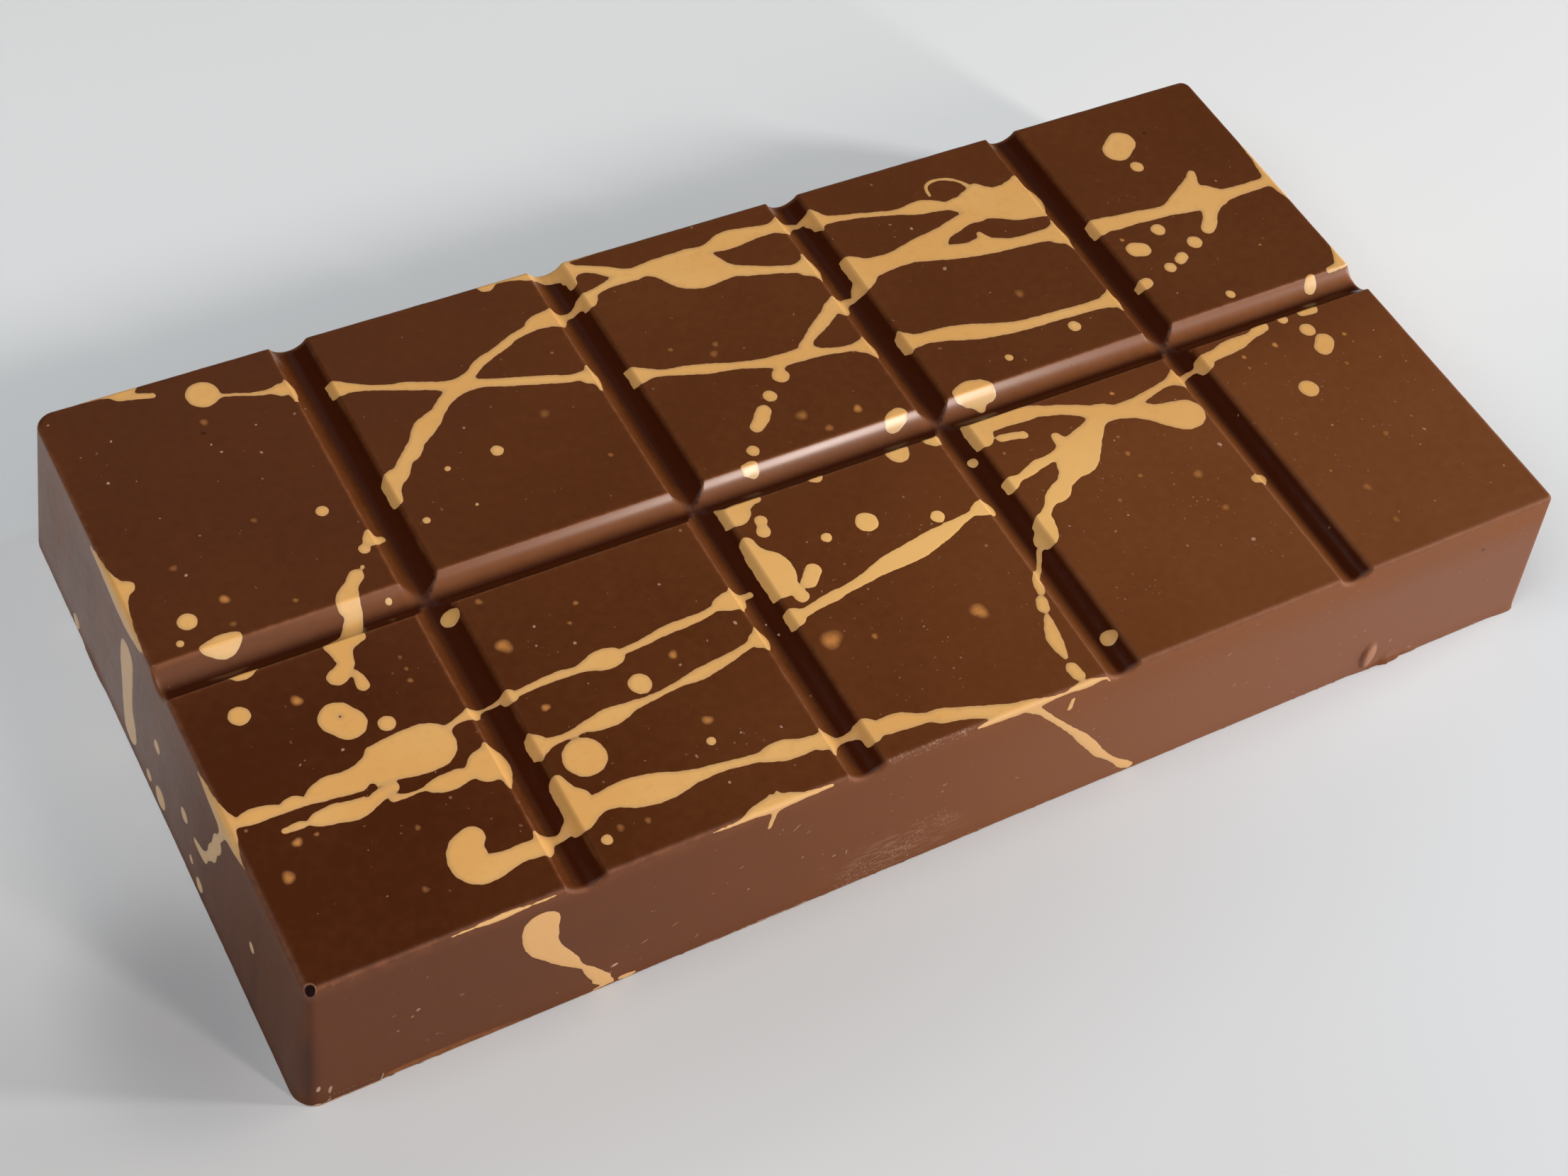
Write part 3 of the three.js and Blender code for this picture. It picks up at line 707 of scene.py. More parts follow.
# Strokes on the top as (x, y, half width). They may run on over the rim, to the walls' sheets.
TOP_STROKES = (
    # back row, first piece from the left
    ((-67.3, 36.25, .2), (-65, 36.1, .3), (-63, 35.9, .75), (-61.9, 36.2, .5)),
    ((-63.6, 35.4, .5), (-62, 34.9, .42), (-60.4, 34.4, .35)),
    ((-55.7, 32.6, 1.75),),
    ((-54.3, 31.9, .25), (-52.5, 31.3, .2), (-50.5, 30.6, .28), (-49, 30.4, .45), (-48, 30.2, .9)),
    ((-47.3, 31.3, .15), (-47.1, 30, .55), (-47.15, 28.3, .25)),
    ((-50.4, 13.5, .68),), ((-48.4, 7.4, .62),), ((-49.5, 5.4, .25),),
    ((-47.5, 8.4, .7), (-47.2, 9.2, .4)), ((-47.2, 8.1, .6), (-46.1, 8.6, .4)),
    ((-50.5, 4.6, .8), (-51.3, 3.8, .75), (-52.2, 2.6, 1.1), (-52.4, 2.1, 1.2), (-52.4, 1.8, 1.1),
     (-52.3, 1.2, 1.0), (-52.5, .5, .9), (-52.9, -.3, 1.0), (-53.6, -1.4, 1.0), (-54.2, -2.1, 1.1)),
    ((-56.4, -2.2, .35), (-54.8, -2.4, .9), (-53, -2.4, .55)),
    ((-55.4, -2.8, 1.2), (-55.4, -3.8, 1.0), (-55.5, -4.8, .85), (-56.3, -5.7, .95),
     (-56.9, -6, 1.0)),
    ((-55.1, -6.3, .35), (-55, -7.1, .55), (-55, -7.8, .68)),
    ((-48.5, 1.1, .35),),
    ((-67.2, 2.2, .35), (-66.2, 2.1, .8), (-65.2, 2.0, 1.1), (-64.2, 2.2, .8), (-63.7, 2.3, .5)),
    ((-66.1, -2, .2), (-64.9, -2.2, .65), (-63.4, -1.95, .2)),
    ((-67.4, 5.75, 1.0),), ((-68.9, 3.55, .42),),
    ((-72.6, 17.5, .1), (-72.5, 14.5, .35), (-72.3, 12.5, .9), (-72.4, 11, .9), (-72.5, 8.5, .45),
     (-72.6, 5.5, .25), (-72.6, 4, .1)),
    ((-72.2, 11.6, 1.1), (-71.1, 11.9, .75)),
    # front row, first piece
    ((-66.9, -6.5, 1.08),), ((-54.7, -12.8, .88),),
    ((-58.7, -10.4, 1.85), (-58, -11.4, 1.8)),
    ((-72.4, -16.9, .9), (-71.3, -17.4, .55), (-70, -17.4, .85), (-68.3, -17.5, .75),
     (-67.2, -17.7, .55), (-66, -17.5, .75), (-64.8, -17.8, .5), (-63.6, -17.5, 1.0),
     (-62.2, -17.3, 1.3), (-60.5, -17.5, 1.35), (-58.6, -17.4, 1.6), (-57, -17, 2.0),
     (-55.3, -16.8, 2.4), (-53.5, -16.8, 2.7), (-52.2, -16.8, 2.7)),
    ((-57.3, -15.1, .55), (-55, -15.2, .8)),
    ((-67.8, -20, .3), (-66.5, -20, .45), (-65.5, -20.1, .3), (-64.5, -20.1, .8),
     (-62.8, -20.2, 1.1), (-61, -20.5, 1.1), (-59.5, -20.3, .8), (-58.2, -19.9, .6),
     (-57, -19.6, .6)),
    ((-72.7, -11.5, .1), (-72.6, -14, .25), (-72.4, -16.5, .7), (-72.4, -18.5, .6),
     (-72.6, -20.5, .25), (-72.7, -22, .1)),
    ((-57.4, -20.8, .45), (-56, -21, .22), (-54.5, -21, .22), (-53.5, -21.1, .7),
     (-52.2, -21.2, 1.0), (-51, -21.1, .95), (-50, -21.1, .75), (-49, -20.9, 1.2),
     (-48, -20.9, 1.9)),
    ((-47.3, -18.7, .25), (-46.9, -20.3, 1.0), (-46.8, -21.8, .9), (-47.1, -24, .2)),
    ((-49.8, -15.6, .35), (-48.6, -15.2, .35), (-47.6, -15, .5), (-46.9, -14.9, .75),
     (-46, -14.5, .3), (-45, -14.3, .17), (-43.3, -14.3, .4), (-42.9, -14.6, .8), (-42, -14.6, .4),
     (-40, -14.4, .42), (-37.5, -14.3, .5), (-35.5, -14.4, .45), (-34.3, -14.3, .75),
     (-32.8, -14.3, 1.25), (-31.6, -14.4, 1.1), (-30.6, -14.2, .45), (-28, -14, .45),
     (-25.5, -13.6, .55), (-23, -13.5, .55), (-21, -13.4, .45), (-19.7, -13.1, .45),
     (-18.8, -12.9, .85), (-17.9, -12.9, 1.15), (-17.2, -12.9, 1.2)),
    ((-17.1, -11.5, .15), (-17.0, -12.9, .5), (-17.1, -14.5, .15)),
    ((-16.8, -12.8, .35), (-16.1, -12.4, .35), (-15, -12.2, .35)),
    ((-52.6, -27.6, 1.2), (-53.7, -28.6, 1.7), (-53.9, -30, 1.95), (-53.3, -31, 1.65),
     (-51.8, -31.2, 1.3), (-50.3, -31.1, 1.0), (-48.9, -31, .95), (-47.8, -31.1, 1.0),
     (-47, -31, .9)),
    ((-47.1, -29.5, .25), (-46.7, -30.7, .75), (-47, -32.2, .2)),
    ((-46.1, -30.4, .55), (-44.8, -30.3, .45), (-43.7, -29.9, .8), (-43, -29.9, 1.2)),
    ((-43.9, -3.2, .95),),
    ((-58.5, -36.3, .07), (-56.8, -36.3, .1), (-55.4, -36.3, .2), (-54, -36.35, .3),
     (-52.6, -36.3, .27), (-51.4, -36.3, .15), (-49.5, -36.3, .1), (-48.2, -36.3, .07)),
    # back row, second piece
    ((-43.4, 28.6, .85), (-42.8, 28.2, 1.1), (-41.8, 27.9, .75), (-40, 27.2, .45), (-38, 26.4, .4),
     (-36, 25.8, .6), (-34, 25, .6), (-32.5, 24.4, .65), (-31, 23.8, .9), (-30, 23.6, .9),
     (-28.5, 23.2, .6), (-26.5, 22.5, .6), (-24, 21.7, .62), (-21.5, 20.9, .62), (-19.8, 20.3, .55),
     (-18.5, 20.1, .6), (-17.6, 19.7, 1.0)),
    ((-17.2, 21.2, .2), (-17, 19.5, .6), (-17.15, 17.6, .2)),
    ((-17.4, 29, 1.25), (-18.5, 29, 1.15), (-19.6, 28.9, .95), (-20.8, 28.4, .55), (-22.5, 28, .5),
     (-24, 27.3, .55), (-25.5, 26.7, .5), (-27.5, 25.9, .62), (-29, 24.8, .6), (-30.3, 23.9, .9),
     (-31.5, 23.3, .9), (-33, 22.4, .75), (-34.4, 21.2, .75), (-35.5, 20.4, 1.05),
     (-36.7, 19.6, 1.2), (-38, 18.3, .85), (-39, 17.2, .95), (-40.2, 16.3, .75),
     (-41.2, 15.1, .95), (-42.3, 14.5, 1.15), (-42.9, 13.3, .9), (-43, 12.2, .75),
     (-43.1, 11.9, .6), (-43.8, 12.4, .5)),
    ((-17.1, 30.1, .2), (-17, 28.8, .9), (-17.2, 27.6, .2)),
    ((-16.7, 28.9, .6), (-15.9, 29.4, .5), (-14.9, 29.6, .4), (-13.9, 30, .5), (-13.2, 30.2, .8)),
    ((-30.9, 14.05, .7),), ((-36.6, 13.8, .35),), ((-41.3, 8.35, .42),), ((-35.8, 8.3, .2),),
    ((-23, 36.2, .3), (-22.3, 35.9, .75), (-21, 36.2, .35), (-19.5, 36.1, .4), (-18, 35.9, .6),
     (-17.2, 35.7, .75), (-16.2, 36.1, .8), (-15.2, 35.7, 1.0), (-14, 35.4, 1.0),
     (-13.1, 35, 1.0)),
    # front row, second piece
    ((-43.7, -20.4, .8), (-43, -20.8, 1.25), (-42.2, -21, .8), (-41, -21, .45), (-39.3, -21, .42),
     (-38, -20.8, .55), (-36.5, -20.8, .9), (-35, -20.7, 1.1), (-33.8, -20.6, .9),
     (-32.5, -20.4, .6), (-30.5, -20.3, .38), (-28, -20, .35), (-26.3, -19.8, .5), (-25, -19.7, .7),
     (-23, -19.4, .65), (-21.3, -19.1, .55), (-19.5, -18.7, .42), (-18.3, -18.4, .5),
     (-17.5, -18.3, 1.0)),
    ((-43, -19.3, .15), (-43, -20.8, .6), (-43, -22.3, .15)),
    ((-17.1, -16.9, .2), (-16.9, -18.3, .7), (-17.05, -19.6, .2)),
    ((-30.65, -18.35, 1.2),), ((-39.3, -23.85, 2.2),), ((-27.4, -27.1, .5),),
    ((-41.4, -32.95, .58),),
    ((-42.9, -25.3, .75), (-42.9, -27, 1.3), (-42.8, -28.7, 1.5), (-42.6, -29.7, 1.5)),
    ((-42, -28, 1.4), (-41.5, -29.2, 1.2), (-40, -29, 1.05), (-38.5, -29, 1.3), (-37, -29.3, 1.65),
     (-35.5, -29.6, 1.75), (-34, -29.8, 1.6), (-32.5, -30, 1.2), (-31, -30, .85),
     (-29.5, -30.1, .65), (-27.5, -30.2, .5), (-25.5, -30.5, .5), (-24, -30.7, .55),
     (-22.8, -30.8, .95), (-21.5, -30.9, 1.2), (-20, -31.2, 1.0), (-18.6, -31.3, .85),
     (-17.7, -31.5, 1.0)),
    ((-43.6, -26.3, .7), (-43.4, -28.2, 1.2), (-43.4, -29.6, 1.2), (-44.2, -30, .7)),
    ((-17.1, -30.2, .2), (-16.6, -31.4, .7), (-17.1, -33.3, .2)),
    ((-16.4, -31.5, .6), (-15.8, -31.5, .5), (-14.7, -31.5, .4), (-13.7, -31.6, .6)),
    # back row, middle piece
    ((-13.2, 34.9, 1.0), (-12.5, 36.1, .4), (-10, 36.3, .25), (-7, 36.4, .12)),
    ((-13.1, 33.9, .7), (-13.2, 33, .6)),
    ((-13.2, 34.9, 1.0), (-12.2, 34.6, .75), (-11, 34.3, .6), (-9.8, 33.7, .6), (-8.8, 33, .75),
     (-7.5, 32.2, .75), (-6.3, 31.6, .8)),
    ((-13.3, 29.8, 1.0), (-12.8, 29.9, 1.1), (-11.8, 30.6, .6), (-10.2, 31.1, .5),
     (-8.8, 31.4, .7), (-7.5, 31.6, .8)),
    ((-7.5, 31.7, .8), (-6.3, 31.6, .8), (-5, 31.7, .95), (-3.6, 31.5, 1.35), (-2.2, 30.9, 2.0),
     (-.8, 30.1, 2.8), (.4, 29.8, 3.0), (1.5, 29.4, 2.5), (2.8, 28.6, 1.6), (4.3, 28, .95),
     (6, 27.3, .8), (8, 26.6, .65), (9.8, 26, .6), (11.2, 25.6, .75), (12.2, 25.3, 1.25)),
    ((12.8, 27.2, .25), (12.95, 25.3, 1.0), (13, 23, .2)),
    ((1, 32, .9), (2.5, 32, .75), (4, 32.2, .9), (5.3, 32.4, 1.3), (6.7, 32.5, 1.35),
     (8.3, 32.5, 1.1), (10, 32.4, .85), (11.5, 32.3, .8), (12.5, 32.3, 1.1)),
    ((12.85, 33.6, .2), (12.95, 32.2, .9), (13, 31, .2)),
    ((13.2, 32.2, .6), (14.3, 32.6, .5), (15.3, 32.5, .35), (16.2, 32.7, .5), (16.8, 32.3, .9)),
    ((-13.5, 18.6, .8), (-13, 18, 1.25), (-12.2, 17.8, 1.0), (-11.2, 17.6, .65), (-10, 17.2, .5),
     (-8, 16.7, .62), (-6.2, 16.2, .75), (-4.5, 15.7, .7), (-2.8, 15.3, .55), (-1, 14.8, .55),
     (.8, 14.3, .7), (2.3, 14, .85), (4, 13.9, .9), (5.5, 13.9, .95), (6.5, 13.8, .9),
     (7.8, 13.3, .55), (9.5, 12.9, .45), (11, 12.6, .5), (12, 12.4, .9)),
    ((12.8, 13.5, .2), (12.9, 12, .9), (13, 10.4, .2)),
    ((6.3, 14.8, .75), (7.3, 15.7, .6), (8.5, 16.5, .75), (9.8, 17.3, .85), (11, 18.1, .85),
     (12, 18.8, 1.0), (12.8, 18.9, 1.3)),
    ((12.7, 20.1, .2), (13.1, 18.9, .9), (12.8, 17.3, .2)),
    ((13.5, 19.3, .6), (14.6, 19.8, .5), (15.6, 19.9, .4), (16.5, 20.6, .8)),
    ((2.3, 13.5, .6), (1.9, 12.6, .6), (1.65, 12, 1.0)),
    ((-.85, 9.85, .8),), ((-6.2, 3.7, .72),),
    ((-4.3, 6.5, .75), (-3.3, 7.3, .85), (-2.5, 8.2, .85)),
    ((-8.1, 1.9, .5), (-7.3, 1.8, .8)), ((9.7, 1.6, .8), (10.2, 1.9, 1.0), (11, 2.2, .9)),
    # front row, middle piece
    ((-13.4, -2.1, .7), (-13.1, -3.2, 1.0), (-12, -3.3, 1.45), (-11.2, -2.6, 1.1),
     (-9.9, -2.3, .6), (-9, -2.2, .5)),
    ((-10, -5, .7),), ((-10.4, -6.35, .78),), ((.15, -9.45, 1.25),), ((-4.75, -9.6, .6),),
    ((7.45, -11.75, .78),), ((15.5, -6.1, .6),), ((16.1, -31.9, .85),),
    ((-12.7, -7, .75), (-12.6, -8.2, .9), (-12.5, -9.6, 1.5), (-12, -11, 2.2), (-12.2, -12.6, 2.0),
     (-13.1, -13, 1.5), (-13.6, -12.4, 1.3), (-14, -12.2, .9)),
    ((-11, -14, .6), (-10.8, -15.2, .8)),
    ((-9.2, -13.9, .85), (-8.1, -12.8, .85)),
    ((-13.5, -17.3, .7), (-12.9, -17.3, 1.2), (-12.2, -17.2, .75), (-11, -17.1, .5),
     (-9, -16.7, .6), (-7.5, -16.5, .65), (-6.5, -16.3, .5), (-5, -16.1, .55), (-3.5, -15.8, .65),
     (-2, -15.4, .8), (-.5, -15.1, 1.0), (1.5, -14.9, 1.15), (3.5, -14.6, 1.2), (5.5, -14.1, 1.1),
     (7.5, -13.7, .85), (9, -13.3, .6), (10.3, -13, .42), (11.2, -12.8, .45), (12.2, -12.6, .9),
     (13, -12.6, 1.15)),
    ((-2.4, -2.1, .4), (-1.8, -2.3, .5), (-1.2, -1.9, .25)),
    ((7.2, -2.2, .6), (7.9, -2.8, 1.05), (8.7, -2.3, .7)),
    ((11.9, -2.2, .6), (12.7, -2.6, .75), (13.3, -1.9, .4)),
    ((16.8, -18.4, 1.1), (16.4, -18.9, .5), (15.7, -19.3, .3), (15, -20.4, .28),
     (14.3, -21.4, .3), (13.4, -22.1, .45)),
    ((12.9, -22.7, .45), (12.6, -23.5, .6), (12.3, -24.5, .45)),
    ((11.7, -25.6, .65), (11.4, -26.4, .7)),
    ((11.1, -27.6, .35), (10.7, -28.8, .65), (10.3, -30.2, .85), (10.15, -31.5, .65),
     (10.1, -32.6, .3)),
    ((10, -34.1, .72), (10.1, -35, .75)),
    ((-14.1, -31.4, .6), (-13.4, -31.9, 1.1), (-12.9, -32.3, 1.5), (-12, -32.4, 1.0),
     (-10.8, -32.5, 1.0), (-9.3, -32.6, 1.05), (-8, -33, .8), (-6.5, -33.3, .6), (-5.2, -33.7, .9),
     (-3.8, -34.1, .8), (-2.4, -34.5, .75), (-1, -35.1, .8), (.3, -35.5, .8), (2, -35.9, .6),
     (3.8, -36.2, .45), (5, -36.4, .3)),
    ((-32, -36.3, .1), (-29, -36.3, .2), (-27.5, -36, .55), (-25.3, -35.9, .9), (-23.5, -36, .7),
     (-22, -36.2, .35), (-19, -36.3, .12)),
    ((-25.3, -35.6, .25), (-25.2, -34.9, .1)), ((-24.5, -35.5, .25), (-24.4, -34.8, .1)),
    ((-2.5, -36.4, .12), (0, -36.3, .4), (2, -36.2, .6), (4, -36.2, .6), (5, -36.4, .4),
     (8, -36.4, .12)),
    ((8.5, -36.3, .25), (10.5, -36.4, .5), (12, -36.4, .25), (13.3, -36.6, .12)),
    # back row, fourth piece
    ((16.6, 31.9, .8), (17, 31.6, 1.1), (18.2, 31.2, .7), (19.5, 30.9, .5), (21.5, 30.5, .42),
     (23.5, 30, .38), (25.3, 29.5, .4), (26.8, 29.2, .5), (28.2, 29, .85), (29.6, 28.9, 1.1),
     (31, 28.6, .95), (32.5, 28, .7), (34, 27.6, 1.1)),
    ((17.05, 33.3, .15), (17.1, 32, .6), (17.1, 30, .15)),
    ((33.8, 27.6, 1.0), (35.2, 27.3, 1.7), (36.8, 27, 2.6), (38.5, 26.2, 2.6), (40.3, 25.7, 3.0),
     (41.4, 25.7, 3.1)),
    ((37, 28, 1.0), (37.2, 29.2, .9)),
    ((41.4, 27.8, .9), (42.7, 28.9, .6)), ((41.4, 23.6, .9), (42.7, 22.8, .6)),
    ((42.6, 27.5, .55), (42.7, 24.2, .55)),
    ((31.5, 30.2, .2), (31.6, 31.2, .2), (32.1, 31.9, .25), (33, 32.2, .22), (34.2, 32.1, .22),
     (35.3, 31.6, .22), (36.1, 30.9, .22), (36.5, 30.2, .3)),
    ((16.4, 24, 1.0), (16.8, 23.2, 2.0), (17.3, 22.8, 2.2), (18.8, 22.6, 1.6), (20.5, 22.6, 1.3),
     (22.5, 22.7, 1.2), (24.5, 22.9, 1.45), (26.5, 23.2, 1.6), (28, 23.5, 1.5), (29.8, 24.3, 1.0),
     (31.5, 24.8, 1.0), (33.3, 25.3, .95), (35, 25.6, 1.3)),
    ((16.5, 20.8, .6), (17, 20.6, .9), (18, 21.2, .9)),
    ((25.5, 22.3, 1.1), (27.5, 21.8, 1.2), (29.5, 21.2, 1.15), (31.5, 20.8, 1.15),
     (33.3, 20.7, 1.35), (34.8, 20.3, 1.1), (36.5, 19.9, .85), (38.5, 19.7, .8), (40.3, 19.6, .9),
     (41.5, 19.4, 1.1), (42.3, 19.2, 1.5)),
    ((42.9, 21.2, .25), (42.9, 19.2, 1.0), (42.95, 16.6, .2)),
    ((33.8, 21.8, .6), (33.7, 22.6, .35)),
    ((16.7, 11.4, .8), (17, 11.2, 1.3), (18, 10.9, 1.0), (19.3, 10.8, .85), (21, 10.6, .95),
     (22.8, 10.2, 1.1), (24.6, 9.7, 1.2), (26.3, 9.2, 1.1), (28, 8.8, .95), (30, 8.4, .8),
     (32.5, 8.2, .72), (35, 8.1, .7), (37.5, 7.95, .68), (39.8, 7.85, .7), (41.3, 7.8, .8),
     (42.2, 7.8, 1.1)),
    ((42.95, 9.3, .25), (42.95, 7.9, .9), (42.9, 6.1, .25)),
    ((17, 12.8, .15), (17, 11.4, .5), (17, 9.7, .15)),
    ((36.2, 5.95, .78),), ((26.6, 4.7, .5),),
    ((18.6, 2.2, .8), (19.9, 2.3, 1.2), (21.3, 2.2, 1.1)),
    ((19.6, 1.7, 1.0), (21.1, 1.7, 1.1), (22.1, 1.6, .9)),
    ((20.4, 1.4, .8), (20.5, .8, .75), (20.4, .2, .5)),
    # front row, fourth piece
    ((16.7, -2.3, .8), (16.9, -3.8, 1.3), (17.6, -4.3, 1.2), (18, -3.3, 1.2)),
    ((17.5, -2.9, .9), (19.5, -2.9, 1.0), (21.5, -2.9, 1.0), (23.5, -3, 1.1), (25, -3.2, .85),
     (26.5, -3.7, .75), (28, -4.2, .75), (29.5, -4.9, .8), (30.8, -5.7, 1.0), (32, -6.3, 1.3),
     (33.5, -6.8, 1.0), (35, -7.2, 1.1), (36.3, -7.8, 1.2), (37.5, -8.6, 1.3), (38.8, -9.4, 1.7),
     (40.2, -10, 2.1), (40.8, -10.1, 2.05)),
    ((34.5, -6.6, .75), (36.5, -6.3, .6), (38.5, -5.9, .5), (40.3, -5.5, .45), (41.6, -5.3, .6),
     (42.6, -5.2, 1.0)),
    ((42.8, -4.1, .25), (43, -5.2, .8), (43, -6.7, .2)),
    ((43.4, -5.1, .4), (44.9, -4.5, .35), (45.9, -4.4, .3), (46.7, -4.5, .6), (47, -4.5, .9)),
    ((19.5, -5.1, .5), (20.8, -5.3, .5), (22, -5.6, .55)),
    ((30.8, -6.9, 1.1), (29.8, -7.7, 1.2), (28.5, -8.6, 1.6), (27, -9.7, 2.1), (25.8, -10.8, 2.2),
     (24.8, -11.3, 1.8), (23.8, -12.2, 1.2), (22.6, -13.1, .9), (21.3, -14, 1.15),
     (20.2, -14.4, .8), (19.2, -15.2, .5), (18.3, -16, .6), (17.6, -16.9, 1.1), (17.1, -18, 1.3),
     (16.9, -18.8, .9)),
    ((25.4, -8.2, .8), (25.2, -7.2, .55)),
    ((24.5, -9.4, .8), (23, -9.6, .55), (21.3, -9.8, .65), (19.8, -10.3, .6), (18.5, -10.6, .45),
     (17.6, -10.8, .7), (17, -11, .9)),
    ((42.5, -20.9, .55), (43.2, -20.9, .75), (43.9, -20.5, .6)),
    # back row, last piece
    ((56.9, 28.6, 1.75), (58.3, 29.6, 1.75)),
    ((57.7, 25.3, .85),), ((54.05, 15.35, .9),), ((57, 12, .95),), ((51.9, 9.6, .75),),
    ((56.1, 3.3, .6),),
    ((49.6, 13.6, 1.1), (50.4, 13.3, 1.1)), ((53.7, 10.2, .7), (54.3, 10.6, .7)),
    ((46.7, 18.4, .7), (47.1, 18.3, 1.3), (48.3, 18.4, 1.2), (50, 18.2, 1.1), (52, 18.1, 1.0),
     (54, 17.9, .95), (56, 17.7, .85), (57.5, 17.7, 1.0), (59.3, 18, 1.6), (61, 18.3, 2.1),
     (62.4, 17.9, 2.1), (63.5, 17.5, 1.7), (65, 17.3, 1.0), (67, 17.3, .8), (69, 17.3, .75),
     (71, 17.3, .75), (72.2, 17.3, 1.0)),
    ((61.5, 19.6, 1.3), (62.6, 20.8, .8), (63.4, 21.9, .5)),
    ((62.2, 16.3, 1.2), (61.3, 15, .9), (60.6, 14, .9), (59.8, 13.3, .85)),
    ((72.2, 24, .1), (72.2, 21, .35), (72.2, 18.5, .8), (72.2, 16, .7), (72.3, 13.8, .15)),
    ((45.9, 8.4, .4), (46.7, 8.3, .5), (47.3, 8.4, .75), (48, 8.6, .7)),
    ((69.5, 2.2, .3), (71, 2.4, .5), (72, 3, .9), (72.3, 4, .7), (72.4, 5.5, .2)),
    ((66.3, 1.2, .7), (66.7, 1.6, .75), (66.9, 1.9, .55)),
    # front row, last piece
    ((46.6, -4.3, .5), (46.9, -4.5, 1.0), (47.6, -4.1, .8), (49, -3.9, .75), (50.8, -3.6, .95),
     (52.5, -3.4, .9), (54.3, -3.1, .55), (55.6, -2.7, .7), (56.6, -2.4, .75)),
    ((59.5, -2.3, .68),), ((61.3, -4.8, .95),), ((56, -12.3, 1.2),),
    ((62.3, -2.3, .6), (63.8, -2.3, .7)), ((61.4, -7.8, 1.1), (62.2, -7, 1.1)),
)

# Strokes on the walls as (place along the wall, height, half width).
FRONT_STROKES = (
    ((-49.6, 15.1, 1.9), (-49.7, 14.4, 1.9), (-49.6, 12.8, 1.8), (-49.3, 11.4, 1.5),
     (-48.4, 9.8, 1.2), (-47.3, 8.2, 1.0), (-46.3, 6.9, .75), (-45.6, 5.8, .4), (-44.9, 4.9, .35),
     (-44.3, 3.9, .6), (-43.5, 2.6, .75), (-42.7, 1.4, .65), (-42.2, .8, .4)),
    ((-46.4, .1, .1), (-45, .12, .22), (-43.5, .15, .38), (-42, .3, .4)),
    ((-43.2, 2.2, .3), (-42.4, 1.9, .16)), ((-43.6, 1.6, .3), (-42.8, .9, .2)),
    ((-40.9, .5, .3), (-40.2, .45, .35), (-39.4, .5, .15)),
    ((-25.3, 18.2, .35), (-25.5, 17.2, .25), (-25.7, 16.1, .22)),
    ((4, 18.4, .6), (5.2, 17.3, .4), (6.5, 15.8, .35), (8.5, 13.5, .35), (10.5, 11.2, .45),
     (12, 9.3, .65), (13.5, 7.3, .65), (14.6, 5.7, .6), (15.6, 4.6, .45), (17.2, 2.9, .35),
     (18.6, 1.5, .6), (19.7, .7, .5)),
    ((9.1, 17.2, .25), (8.9, 15.9, .3)),
)
LEFT_STROKES = (
    ((8.4, 13.3, 1.7), (8.4, 11, 1.7), (8.2, 8.5, 1.5), (8, 6.3, 1.45), (7.4, 4.2, 1.7),
     (7.1, 2.9, 1.7)),
    ((18.5, 18.2, .3), (15, 18.2, .7), (12, 18.2, 1.1), (9, 18, 1.0), (6.5, 18.1, .6),
     (5, 18.3, .3)),
    ((-10.5, 18.4, .2), (-13, 18.2, .7), (-16, 18.1, 1.1), (-19, 18.2, .7), (-21, 18.4, .2)),
    ((-16.5, 17.4, .9), (-16.4, 16.2, .55), (-16, 15.1, .5), (-15.7, 13.9, 1.0),
     (-15.2, 12.4, .75), (-14.7, 11, .95), (-14.2, 9.9, .6), (-13.4, 8.7, .5), (-12.8, 7.8, .75),
     (-11.4, 7.4, .6), (-10.6, 7.3, .4)),
    ((-.1, 9.1, .8),), ((-7.6, 7.6, .85),), ((-1.4, 2.2, 1.3),), ((1.8, 1.9, .7),),
    ((23.2, 1.3, .9),), ((-12.1, 1.8, .85),), ((-9.8, 3.1, .5),), ((-24.8, 9.5, .6),),
)
BACK_STROKES = (
    ((-63, 18.3, .6), (-62.6, 16.8, .7), (-62, 14.6, .6), (-61.6, 12.6, .8), (-61.4, 11.2, .5)),
    ((-22.3, 18.3, .5), (-22.6, 16.9, .4), (-23.1, 15, .45)),
    ((-15, 17.2, 1.2), (-14.2, 15, 1.1), (-13.4, 12.6, .8), (-12.6, 9.9, .6), (-12, 7.6, .75),
     (-11.2, 5, .5), (-10.8, 3.2, .45)),
    ((13.5, 11, .6), (17, 9.8, .5), (21.5, 8.4, .45), (25.5, 7.8, .6), (29, 7.6, 1.1)),
    ((47, 4.6, 1.2),), ((52.3, 12.1, .7),), ((49.4, 8.6, .45),), ((-38, 6.2, .9),),
    ((-36.2, 9.9, .4),),
)
RIGHT_STROKES = (
    ((17.6, 18, 1.0), (17.2, 16.4, .7), (16.6, 14.4, .6), (16, 12.2, .75), (15.3, 10, 1.0),
     (14.9, 8.4, .9), (14.7, 7.2, .45)),
    ((3.4, 17.6, .5), (3.2, 16.3, .4), (3, 15.2, .55)),
    ((-12, 9.4, .9),), ((-9.6, 6.8, .5),), ((24.6, 4.2, .8),), ((-21, 13.3, .6),),
)
# Places inside a splash that it left bare.
BARE = (((-59.5, -19.3, .35), (-58.7, -18.9, .4)), ((-58.4, -10.3, .12),))

MARK_STEP, THINNEST = 0.14, 0.07           # spacing and least half width of a stroke's marks


